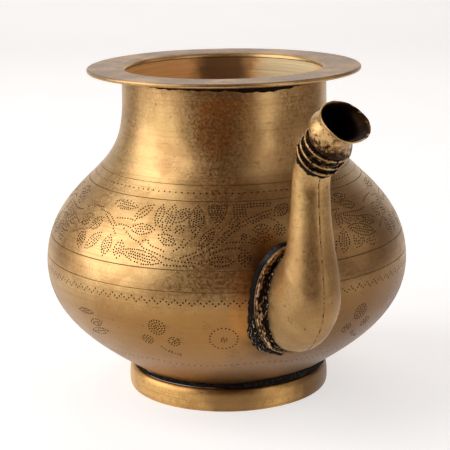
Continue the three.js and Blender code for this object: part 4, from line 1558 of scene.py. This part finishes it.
def side_and_height_band(tree, given):
    """More where the pot turns away to one side, and more towards one height."""
    wobble = minus(tree, noise(tree, given["Point"], 0.035, 4.0), 0.5)
    sideways = plus(tree, towards(tree, given["Point"], given["Direction"]), times(tree, wobble, 0.8))
    height = plus(tree, split(tree, given["Point"])["Z"], times(tree, wobble, 14.0))
    side = band(tree, sideways, given["Side from"], given["Side to"])
    return (times(tree, side, band(tree, height, given["Height from"], given["Height to"])),)


def facing_side(tree, given):
    """How far a point of the pot lies towards one side, with a ragged edge."""
    ragged = times(tree, minus(tree, noise(tree, given["Point"], 0.12, 4.0), 0.5), 0.3)
    return (plus(tree, towards(tree, given["Point"], given["Direction"]), ragged),)


def soil(tree, given):
    """Dirt by the amount that the mesh gives, with a ragged edge: a stain where it is thin."""
    ragged = minus(tree, noise(tree, given["Point"], 0.55, 5.0, 0.65), 0.5)
    amount = band(tree, plus(tree, given["Amount"], times(tree, ragged, given["Ragged"])), 0.35, 0.95)
    crust = mix_colour(tree, band(tree, amount, 0.45, 0.85), given["Stain"], given["Dirt"])
    return mix_colour(tree, band(tree, amount, 0.0, 0.6), given["Clean"], crust), amount


def solder_crust(tree, given):
    """Rough dark solder: its colour, metal and roughness, and the grain for its height."""
    grain = noise(tree, given["Point"], 0.9, 5.0, 0.65)
    cloud = noise(tree, given["Point"], 0.25, 3.0)
    colour = mix_colour(tree, band(tree, grain, 0.5, 0.75), given["Solder"], given["Dirt"])
    return colour, band(tree, grain, 0.5, 0.75, 0.0, 0.2), band(tree, cloud, 0.3, 0.7, 0.6, 0.8), grain


def solder_specks(tree, given):
    """Short specks that run along the solder."""
    streak = noise(tree, stretched(tree, given["Point"], (1.4, 1.4, 0.5), (0.5, 0.0, 0.0)), 1.0, 4.0, 0.6)
    return (times(tree, band(tree, streak, 0.58, 0.63), given["Amount"]),)


# The kinds of each group's inputs and outputs, and what builds it; underscores stand for spaces. A
# builder is given the group's tree and inputs, and returns what its outputs are linked to.
GROUPS = {
    "Turning marks": (dict(Point="vector", Depth="value"), dict(Height="value", Lines="value"),
                      turning_marks),
    "Patina": (dict(Point="vector", Patch_scale="value", Clean="colour", Brown="colour", Olive="colour",
                    Brown_amount="value", Olive_amount="value"),
               dict(Colour="colour", Mask="value", Mottle="value"), patina),
    "Scratches and pits": (dict(Point="vector", Pit_scale="value"), dict(Scratches="value", Pits="value"),
                           scratches),
    "Oval place": (dict(Point="vector", Centre="vector", Reach="vector"), dict(Mask="value"), oval_place),
    "Side and height band": (dict(Point="vector", Direction="vector", Side_from="value", Side_to="value",
                            Height_from="value", Height_to="value"), dict(Mask="value"), side_and_height_band),
    "Facing side": (dict(Point="vector", Direction="vector"), dict(Value="value"), facing_side),
    "Soil": (dict(Point="vector", Amount="value", Ragged="value", Clean="colour", Stain="colour",
                  Dirt="colour"), dict(Colour="colour", Mask="value"), soil),
    "Solder crust": (dict(Point="vector", Solder="colour", Dirt="colour"),
                     dict(Colour="colour", Metal="value", Roughness="value", Grain="value"),
                     solder_crust),
    "Solder specks": (dict(Point="vector", Amount="value"), dict(Mask="value"), solder_specks),
}


def new_material(name):
    material = bpy.data.materials.new(name)
    material.use_nodes = True
    tree = material.node_tree
    tree.nodes.clear()
    output = tree.nodes.new("ShaderNodeOutputMaterial")
    shader = tree.nodes.new("ShaderNodeBsdfPrincipled")
    link(tree, shader.outputs[0], output.inputs["Surface"])
    return material, tree, shader


def point_in_mm(tree):
    """The point on the object in millimetres about the pot's axis."""
    coordinates = tree.nodes.new("ShaderNodeTexCoord")
    moved = tree.nodes.new("ShaderNodeMapping")
    moved.inputs["Location"].default_value = (-AXIS_X * 1000, -AXIS_Y * 1000, 0)
    moved.inputs["Scale"].default_value = (1000, 1000, 1000)
    link(tree, coordinates.outputs["Object"], moved.inputs["Vector"])
    return moved.outputs[0]


def attribute(tree, name):
    node = tree.nodes.new("ShaderNodeAttribute")
    node.attribute_name = name
    return node.outputs["Fac"]


def bump(tree, shader, height, strength, distance):
    node = tree.nodes.new("ShaderNodeBump")
    node.inputs["Strength"].default_value = strength
    node.inputs["Distance"].default_value = distance
    link(tree, height, node.inputs["Height"])
    link(tree, node.outputs[0], shader.inputs["Normal"])


def towards_side(side):
    """The unit vector at an angle to the right of the camera's own direction."""
    angle = math.radians(side - CAMERA_SIDE)
    return (math.cos(angle), math.sin(angle), 0.0)


def on_neck(side, radius, height):
    """A place on the neck, at an angle to the right of the camera."""
    x, y, _ = towards_side(side)
    return radius * x, radius * y, height


def facing(tree, point, side):
    return place_group(tree, "Facing side", Point=point, Direction=towards_side(side))["Value"]


def at_place(tree, point, place):
    centre, reach = place
    return place_group(tree, "Oval place", Point=point, Centre=centre, Reach=reach)["Mask"]


def rim_finish(tree, point, colour, rough):
    """A grey film lies on the rim's top."""
    top = mm(sizes().rim_top)
    on_top = band(tree, split(tree, point)["Z"], top - 0.9, top - 0.3)
    film = times(tree, on_top, band(tree, noise(tree, point, 0.06, 4.0), 0.35, 0.6, 0.5, 1.0))
    colour = mix_colour(tree, times(tree, film, 0.92), colour, colours().film)
    return colour, plus(tree, rough, times(tree, film, 0.1))


def foot_painted_shade(tree, point, colour, rough):
    """Painted shade: the foot is darkened in front and along its right side, where it reflects the dim
    room and faces away from the lamps, and keeps its plain brass between.
    """
    sideways = facing(tree, point, 90)
    ahead = band(tree, facing(tree, point, 0), 0.1, 0.4)
    middle = without_sign(tree, minus(tree, sideways, 0.04))
    front = times(tree, band(tree, middle, 0.12, 0.42, 1.0, 0.0), ahead)
    right = band(tree, sideways, 0.45, 0.8)
    dark = larger(tree, front, right)
    # Painted shade in the tarnish brown, deepened with the stain brown on the right side.
    colour = mix_colour(tree, times(tree, dark, 0.8), colour, colours().tarnish)
    return mix_colour(tree, times(tree, right, 0.55), colour, colours().stain), rough


def inside_with_painted_light(tree, point):
    """Dull gold inside the pot, with a pale painted highlight on the right of the back where a lamp shines
    in, and painted shade down the middle of the back.
    """
    tint = colours()
    sideways = facing(tree, point, 90)
    at_back = band(tree, facing(tree, point, 180), 0.1, 0.4)
    # worn marks the painted highlight, and dark the painted shade.
    worn = times(tree, band(tree, sideways, 0.28, 0.5), at_back)
    dark = times(tree, band(tree, without_sign(tree, sideways), 0.16, 0.42, 1.0, 0.0), at_back)
    lines = band(tree, noise(tree, stretched(tree, point, (0.02, 0.02, 1.5)), 1.0, 4.0, 0.7),
                 0.3, 0.7, 0.8, 1.08)
    colour = mix_colour(tree, worn, tint.inside, tint.worn)
    colour = mix_colour(tree, times(tree, dark, 0.92), colour, tint.stain)
    return mix_colour(tree, 1.0, colour, lines, "MULTIPLY")


def brass_material(name, clean, brown_amount=0.55, olive_amount=0.45, patch_scale=0.045,
                   low_rough=0.28, high_rough=0.44, marks=1.0, pit_scale=0.16, punched=False,
                   soiled=0.0, warm_shade_areas=(), tarnish=(), stains=(), heat=(), scars=(), film_and_shade=None):
    """Old brass. The warm and tarnish areas hold (side, side from, side to, height from, height to,
    amount) of redder and darker areas, which on the body are painted shade; stains, heat and scars hold
    (centre, reach) of places; soiled is how ragged the mesh's own dirt is; and the touch-up hook at the
    end adds a piece's own touches, such as the rim's grey film and the foot's painted shade."""
    material, tree, shader = new_material(name)
    point = point_in_mm(tree)
    tint = colours()
    layers = place_group(tree, "Patina", Point=point, Patch_scale=patch_scale, Clean=clean,
                         Brown=tint.brown, Olive=tint.olive,
                         Brown_amount=brown_amount, Olive_amount=olive_amount)
    turning = place_group(tree, "Turning marks", Point=point, Depth=marks)
    wear = place_group(tree, "Scratches and pits", Point=point, Pit_scale=pit_scale)
    colour = mix_colour(tree, times(tree, turning["Lines"], 0.42 * marks), layers["Colour"],
                        tint.brown)
    # On the body these areas are painted shade: redder and darker brass where it reflects the dim floor
    # and room.
    for areas, deep in ((warm_shade_areas, tint.warm), (tarnish, tint.tarnish)):
        for side, side_from, side_to, height_from, height_to, amount in areas:
            mask = place_group(tree, "Side and height band", Point=point, Direction=towards_side(side),
                               Side_from=side_from, Side_to=side_to, Height_from=height_from,
                               Height_to=height_to)["Mask"]
            colour = mix_colour(tree, times(tree, mask, amount), colour, deep)
    for places, deep, amount in ((stains, tint.stain, 0.9), (heat, tint.heat, 0.5)):
        for place in places:
            mask = at_place(tree, point, place)
            colour = mix_colour(tree, times(tree, mask, amount), colour, deep)
    for place in scars:
        tangle = without_sign(tree, minus(tree, noise(tree, point, 0.22, 4.0, 0.6), 0.5))
        scar = times(tree, band(tree, tangle, 0.004, 0.014, 1.0, 0.0), at_place(tree, point, place))
        colour = mix_colour(tree, times(tree, scar, 0.75), colour, tint.stain)
    colour = mix_colour(tree, times(tree, wear["Scratches"], 0.6), colour, tint.dirt)
    colour = mix_colour(tree, times(tree, wear["Pits"], 0.8), colour, tint.dirt)
    rough = band(tree, layers["Mottle"], 0.3, 0.7, low_rough, high_rough)
    rough = plus(tree, rough, times(tree, layers["Mask"], 0.08))
    shader.inputs["Metallic"].default_value = 1.0
    if punched:
        mark = attribute(tree, "punched")
        colour = mix_colour(tree, times(tree, mark, 0.96), colour, tint.dirt)
        rough = plus(tree, rough, times(tree, mark, 0.25))
        inner = attribute(tree, "inner")
        colour = mix_colour(tree, times(tree, inner, 0.95), colour, inside_with_painted_light(tree, point))
        rough = plus(tree, rough, times(tree, inner, 0.1))
        link(tree, minus(tree, 1.0, times(tree, inner, 0.85)), shader.inputs["Metallic"])
    if soiled:
        layer = place_group(tree, "Soil", Point=point, Amount=attribute(tree, "dirt"), Ragged=soiled,
                            Clean=colour, Stain=tint.stain, Dirt=tint.dirt)
        colour = layer["Colour"]
        rough = plus(tree, rough, times(tree, layer["Mask"], 0.15))
    if film_and_shade:
        colour, rough = film_and_shade(tree, point, colour, rough)
    link(tree, colour, shader.inputs["Base Color"])
    link(tree, rough, shader.inputs["Roughness"])
    height = plus(tree, turning["Height"], times(tree, noise(tree, point, 0.06, 2.0), 2.0))
    height = minus(tree, height, times(tree, wear["Scratches"], 0.6))
    bump(tree, shader, minus(tree, height, wear["Pits"]), 0.4, 0.00006)
    return material


def solder_material(name, specks=0.0, speck_place=None, painted_sheen_place=None):
    """Rough, nearly black solder. Cream and brass specks show through along its run, and where it
    flowed smooth a faint grey sheen is painted into its colour, with a glossier, more metal face; a place
    is (centre, reach)."""
    material, tree, shader = new_material(name)
    point = point_in_mm(tree)
    tint = colours()
    crust = place_group(tree, "Solder crust", Point=point, Solder=tint.solder,
                        Dirt=tint.dirt)
    colour, metal, rough = crust["Colour"], crust["Metal"], crust["Roughness"]
    if painted_sheen_place:
        # Painted sheen: a grey colour mixed into the solder at this place.
        sheen = at_place(tree, point, painted_sheen_place)
        colour = mix_colour(tree, times(tree, sheen, 0.6), colour, tint.sheen)
        metal = larger(tree, metal, times(tree, sheen, 0.8))
        rough = minus(tree, rough, times(tree, sheen, 0.22))
    if specks:
        speck = place_group(tree, "Solder specks", Point=point, Amount=specks)["Mask"]
        if speck_place:
            speck = times(tree, speck, at_place(tree, point, speck_place))
        colour = mix_colour(tree, speck, colour, tint.specks)
        metal = larger(tree, metal, times(tree, speck, 0.7))
    link(tree, colour, shader.inputs["Base Color"])
    link(tree, metal, shader.inputs["Metallic"])
    link(tree, rough, shader.inputs["Roughness"])
    shader.inputs["Specular IOR Level"].default_value = 0.05
    bump(tree, shader, crust["Grain"], 0.8, 0.0004)
    return material


# Stage

# The camera: its lens and sensor in millimetres, its place from the pot's axis in metres, the level
# direction that it looks in, and how far it is pitched down and rolled, in degrees
CAMERA_LENS = 113.78
CAMERA_SENSOR = 36
CAMERA_PLACE = (0.58391, -0.21892, 0.2262)
CAMERA_DIRECTION = (-0.9367, 0.3502, 0)
CAMERA_PITCH = 13.86
CAMERA_ROLL = -0.92

# The paper, in metres from the pot's axis: its front edge, where it starts to curve up, the curve's
# radius, its top and half its width
PAPER_FRONT = 0.3
PAPER_FLAT_END = 1.3
PAPER_CURVE = 0.5
PAPER_TOP = 1.6
PAPER_HALF_WIDTH = 0.45

# Each lamp's side, distance and height round the pot, its width and tallness, and its power
LAMPS = {
    "lamp_left": (-77, 1.25, 0.62, 1.6, 1.5, 19),
    "lamp_high_left": (-88, 0.75, 1.25, 0.7, 0.5, 2.4),
    "lamp_right": (46, 1.1, 0.55, 0.4, 1.9, 3.5),
    "lamp_far_right": (92, 1.2, 0.6, 0.6, 1.0, 1.3),
    "lamp_top": (180, 0.95, 1.35, 1.4, 1.2, 6.5),
}
LAMP_AIM_HEIGHT = 0.075


def make_camera():
    camera = bpy.data.cameras.new("camera")
    camera.lens = CAMERA_LENS
    camera.sensor_width = CAMERA_SENSOR
    camera.clip_start = 0.01
    camera.clip_end = 50
    holder = bpy.data.objects.new("camera", camera)
    bpy.context.scene.collection.objects.link(holder)
    pitch = math.radians(CAMERA_PITCH)
    level = Vector(CAMERA_DIRECTION).normalized()
    forward = level * math.cos(pitch) + Vector((0, 0, -math.sin(pitch)))
    right = forward.cross(Vector((0, 0, 1))).normalized()
    turn = Matrix((right, right.cross(forward), -forward)).transposed().to_4x4()
    x, y, height = CAMERA_PLACE
    place = Matrix.Translation((AXIS_X + x, AXIS_Y + y, height))
    holder.matrix_world = place @ turn @ Matrix.Rotation(math.radians(CAMERA_ROLL), 4, "Z")
    bpy.context.scene.camera = holder


def around_pot(side, distance, height):
    """A place in the studio, at an angle to the right of the camera's own direction."""
    angle = math.radians(side - CAMERA_SIDE)
    return Vector((AXIS_X + distance * math.cos(angle), AXIS_Y + distance * math.sin(angle), height))


def add_lamp(name, side, distance, height, width, tall, power):
    lamp = bpy.data.lights.new(name, "AREA")
    lamp.shape = "RECTANGLE"
    lamp.size = width
    lamp.size_y = tall
    lamp.energy = power
    holder = bpy.data.objects.new(name, lamp)
    bpy.context.scene.collection.objects.link(holder)
    holder.location = around_pot(side, distance, height)
    aim = Vector((AXIS_X, AXIS_Y, LAMP_AIM_HEIGHT)) - holder.location
    holder.rotation_euler = aim.to_track_quat("-Z", "Y").to_euler()


def paper_material():
    """Pale paper that looks white to the camera and keeps the pot's shadow."""
    material, tree, shader = new_material("studio_paper")
    grain = band(tree, noise(tree, point_in_mm(tree), 0.02, 2.0), 0.3, 0.7)
    link(tree, mix_colour(tree, grain, (0.6, 0.6, 0.6, 1), (0.62, 0.62, 0.62, 1)),
         shader.inputs["Base Color"])
    shader.inputs["Roughness"].default_value = 0.9
    shader.inputs["Specular IOR Level"].default_value = 0.0
    rays = tree.nodes.new("ShaderNodeLightPath").outputs
    seen = larger(tree, rays["Is Camera Ray"], rays["Is Glossy Ray"])
    seen = larger(tree, seen, rays["Is Transmission Ray"])
    shader.inputs["Emission Color"].default_value = (1, 1, 1, 1)
    link(tree, times(tree, seen, 0.62), shader.inputs["Emission Strength"])
    return material


def add_paper():
    """Paper that lies under the pot and curves up behind it. Its front edge is near, so that the brass
    in front sees the dim room and not paper."""
    sweep = [(y, 0.0) for y in np.linspace(-PAPER_FRONT, PAPER_FLAT_END, 20)]
    for turn in np.linspace(0, math.pi / 2, 14)[1:]:
        sweep.append((PAPER_FLAT_END + PAPER_CURVE * math.sin(turn), PAPER_CURVE * (1 - math.cos(turn))))
    sweep += [(PAPER_FLAT_END + PAPER_CURVE, z) for z in np.linspace(PAPER_CURVE + 0.2, PAPER_TOP, 6)]
    across = np.linspace(-PAPER_HALF_WIDTH, PAPER_HALF_WIDTH, 12)
    away = np.array(towards_side(180)[:2])
    side = np.array([-away[1], away[0]])
    points = [tuple(1000 * (away * y + side * x)) + (1000 * z,) for y, z in sweep for x in across]
    wide = len(across)
    faces = [(i * wide + j, i * wide + j + 1, (i + 1) * wide + j + 1, (i + 1) * wide + j)
             for i in range(len(sweep) - 1) for j in range(wide - 1)]
    mesh = new_mesh("studio_floor", points, faces)
    mesh.shade_smooth()
    mesh.materials.append(paper_material())
    paper = bpy.data.objects.new("studio_floor", mesh)
    bpy.context.scene.collection.objects.link(paper)


def make_world():
    """White paper all round for the camera. The metal sees white behind the pot only, and a dim warm
    room on the other sides."""
    world = bpy.data.worlds.new("studio")
    bpy.context.scene.world = world
    world.use_nodes = True
    tree = world.node_tree
    tree.nodes.clear()
    output = tree.nodes.new("ShaderNodeOutputWorld")
    dim, white = tree.nodes.new("ShaderNodeBackground"), tree.nodes.new("ShaderNodeBackground")
    dim.inputs["Color"].default_value = (0.1, 0.043, 0.016, 1)
    white.inputs["Color"].default_value = (1, 1, 1, 1)
    rays, mix = tree.nodes.new("ShaderNodeLightPath").outputs, tree.nodes.new("ShaderNodeMixShader")
    direction = tree.nodes.new("ShaderNodeTexCoord").outputs["Generated"]
    backwards = vector_node(tree, "DOT_PRODUCT", direction, -Vector(towards_side(0)))
    seen = times(tree, larger(tree, rays["Is Glossy Ray"], rays["Is Transmission Ray"]),
                 band(tree, backwards, 0.55, 0.9))
    link(tree, larger(tree, rays["Is Camera Ray"], seen), mix.inputs[0])
    link(tree, dim.outputs[0], mix.inputs[1])
    link(tree, white.outputs[0], mix.inputs[2])
    link(tree, mix.outputs[0], output.inputs["Surface"])


# Operators


class WATERPOT_OT_stage(bpy.types.Operator):
    """Set up the camera, lamps, paper floor and studio"""

    bl_idname = "waterpot.stage"
    bl_label = "Studio"

    def execute(self, context):
        context.scene.view_settings.view_transform = "Standard"
        make_camera()
        make_world()
        add_paper()
        for name, setting in LAMPS.items():
            add_lamp(name, *setting)
        return {"FINISHED"}


class WATERPOT_OT_body(bpy.types.Operator):
    """Model the bowl and the shoulder and neck, with their punched ornament"""

    bl_idname = "waterpot.body"
    bl_label = "Body"

    def execute(self, context):
        dots = make_ornament()
        brass = brass_material("body_brass", colours().brass, punched=True,
                               heat=(((78.0, -21.0, 58.0), (8.0, 7.0, 17.0)),
                                     (on_neck(-6, 46, 124), (8.0, 8.0, 12.0)),
                                     (on_neck(-2, 46, 133), (10.0, 10.0, 4.0))),
                               stains=(((76.0, -9.0, 58.0), (16.0, 15.0, 27.0)),),
                               scars=((on_neck(38, 50, 114), (10.0, 10.0, 8.0)),),
                               # Painted shade: the warm and tarnish areas make the belly redder and darker
                               # low down and on its lower front. They also darken its right side and the
                               # front of the shoulder and neck, where the brass reflects the dim floor and
                               # room and faces away from the lamps.
                               warm_shade_areas=((14, 0.25, 0.85, 64, 50, 0.8), (0, -1.5, -1.2, 36, 20, 0.95)),
                               tarnish=((0, -1.5, -1.2, 66, 48, 0.5), (48, 0.55, 0.98, 70, 44, 0.8),
                                        (46, 0.6, 1.0, 116, 108, 0.5), (0, 0.75, 1.05, 60, 100, 0.35)))
        add_piece("pot_bowl", bowl_mesh(dots), brass, "brass_body", "lower_bowl")
        add_piece("pot_shoulder_and_neck", upper_mesh(dots), brass, "brass_body", "upper_body")
        return {"FINISHED"}


class WATERPOT_OT_rim(bpy.types.Operator):
    """Model the flat rim and the solder under it"""

    bl_idname = "waterpot.rim"
    bl_label = "Rim"

    def execute(self, context):
        brass = brass_material("rim_brass", colours().brass, brown_amount=0.4, film_and_shade=rim_finish)
        add_skin("rim_ring", rim_rows(), True, brass, "brass_rim", "rim_flange")
        add_bead("rim_solder", rim_solder_rows(), solder_material("rim_solder"), "rim_solder_bead")
        return {"FINISHED"}


class WATERPOT_OT_foot(bpy.types.Operator):
    """Model the foot ring and the solder over it"""

    bl_idname = "waterpot.foot"
    bl_label = "Foot"

    def execute(self, context):
        brass = brass_material("foot_brass", colours().foot_brass, brown_amount=0.4, olive_amount=0.2,
                               film_and_shade=foot_painted_shade)
        add_skin("foot_band", foot_rows(), True, brass, "brass_foot", "foot_ring")
        add_bead("foot_solder", foot_solder_rows(), solder_material("foot_solder", specks=0.12),
                 "foot_solder_bead")
        return {"FINISHED"}


class WATERPOT_OT_seat(bpy.types.Operator):
    """Model the spout's oval seat and its solder"""

    bl_idname = "waterpot.seat"
    bl_label = "Spout seat"

    def execute(self, context):
        brass = brass_material("collar_brass", colours().collar_brass, brown_amount=0.35, low_rough=0.4,
                               high_rough=0.55, pit_scale=0.5, soiled=0.8)
        add_skin("seat_collar", collar_rows(), True, brass, "brass_collar", "spout_seat_collar",
                 dirt=collar_dirt())
        solder = solder_material("seat_solder", specks=1.0,
                                 speck_place=((76.0, -16.0, 44.0), (9.0, 6.0, 13.0)),
                                 painted_sheen_place=((74.0, -10.5, 79.0), (9.0, 5.0, 7.0)))
        add_bead("seat_solder", seat_solder_rows(), solder, "spout_seat_solder")
        add_bead("root_solder", root_solder_rows(), solder_material("root_solder", specks=1.0),
                 "spout_root_solder")
        return {"FINISHED"}


class WATERPOT_OT_spout(bpy.types.Operator):
    """Model the two halves of the spout's tube and the braze between them"""

    bl_idname = "waterpot.spout"
    bl_label = "Spout tube"

    def execute(self, context):
        brass = brass_material("spout_brass", colours().spout_brass, brown_amount=0.5, low_rough=0.4,
                               high_rough=0.54, marks=0.3, tarnish=((0, -1.5, -1.2, 102, 78, 0.4),))
        add_skin("spout_left", tube_half_rows(1), False, brass, "brass_spout", "spout_left_half")
        add_skin("spout_right", tube_half_rows(-1), False, brass, "brass_spout", "spout_right_half")
        braze = brass_material("seam_braze", colours().brass, brown_amount=0.9, patch_scale=0.25,
                               marks=0.0, low_rough=0.4, high_rough=0.55, soiled=0.6)
        for name, angle, seed, dirt_seed in (("spout_seam_outer", 0.0, 101, 106),
                                             ("spout_seam_inner", math.pi, 103, 107)):
            add_skin(name, seam_strip_rows(angle, seed), False, braze, "solder", dirt=seam_dirt(dirt_seed))
        return {"FINISHED"}


class WATERPOT_OT_mouthpiece(bpy.types.Operator):
    """Model the mouthpiece, the wires wound round its root and their solder"""

    bl_idname = "waterpot.mouthpiece"
    bl_label = "Mouthpiece"

    def execute(self, context):
        brass = brass_material("mouthpiece_brass", colours().brass, brown_amount=0.8, patch_scale=0.12,
                               marks=0.3, pit_scale=0.4, soiled=1.3)
        add_skin("mouthpiece", mouthpiece_rows(), True, brass, "brass_mouthpiece", "spout_mouthpiece",
                 dirt=mouthpiece_dirt())
        brass = brass_material("wire_brass", colours().wire_brass, brown_amount=0.7, patch_scale=0.3,
                               marks=0.0, soiled=0.8)
        for place, height, tilt, side, seed in WIRES:
            add_skin("wire_" + place, wire_rows(height, tilt, side, seed), True, brass, "brass_wire",
                     "spout_wire_" + place, dirt=wire_dirt(seed + 2))
        add_bead("wire_solder", wire_solder_rows(), solder_material("wire_solder"), "spout_wire_solder")
        return {"FINISHED"}


class WATERPOT_PT_panel(bpy.types.Panel):
    """The steps that make the pot, in order"""

    bl_idname = "WATERPOT_PT_panel"
    bl_label = "Water Pot"
    bl_space_type = "VIEW_3D"
    bl_region_type = "UI"
    bl_category = "Water Pot"

    def draw(self, context):
        column = self.layout.column()
        for step in STEPS:
            column.operator(step.bl_idname)
        for values in (context.scene.water_pot_sizes, context.scene.water_pot_colours):
            for name in values.__annotations__:
                column.prop(values, name)


STEPS = (WATERPOT_OT_stage, WATERPOT_OT_body, WATERPOT_OT_rim, WATERPOT_OT_foot, WATERPOT_OT_seat,
         WATERPOT_OT_spout, WATERPOT_OT_mouthpiece)
CLASSES = (PotSizes, PotColours) + STEPS + (WATERPOT_PT_panel,)


def register():
    for entry in CLASSES:
        bpy.utils.register_class(entry)
    bpy.types.Scene.water_pot_sizes = PointerProperty(type=PotSizes)
    bpy.types.Scene.water_pot_colours = PointerProperty(type=PotColours)


def unregister():
    del bpy.types.Scene.water_pot_colours
    del bpy.types.Scene.water_pot_sizes
    for entry in reversed(CLASSES):
        bpy.utils.unregister_class(entry)


def main():
    register()
    bpy.ops.waterpot.stage()
    bpy.ops.waterpot.body()
    bpy.ops.waterpot.rim()
    bpy.ops.waterpot.foot()
    bpy.ops.waterpot.seat()
    bpy.ops.waterpot.spout()
    bpy.ops.waterpot.mouthpiece()
    bpy.context.view_layer.update()


if __name__ == "__main__":
    main()
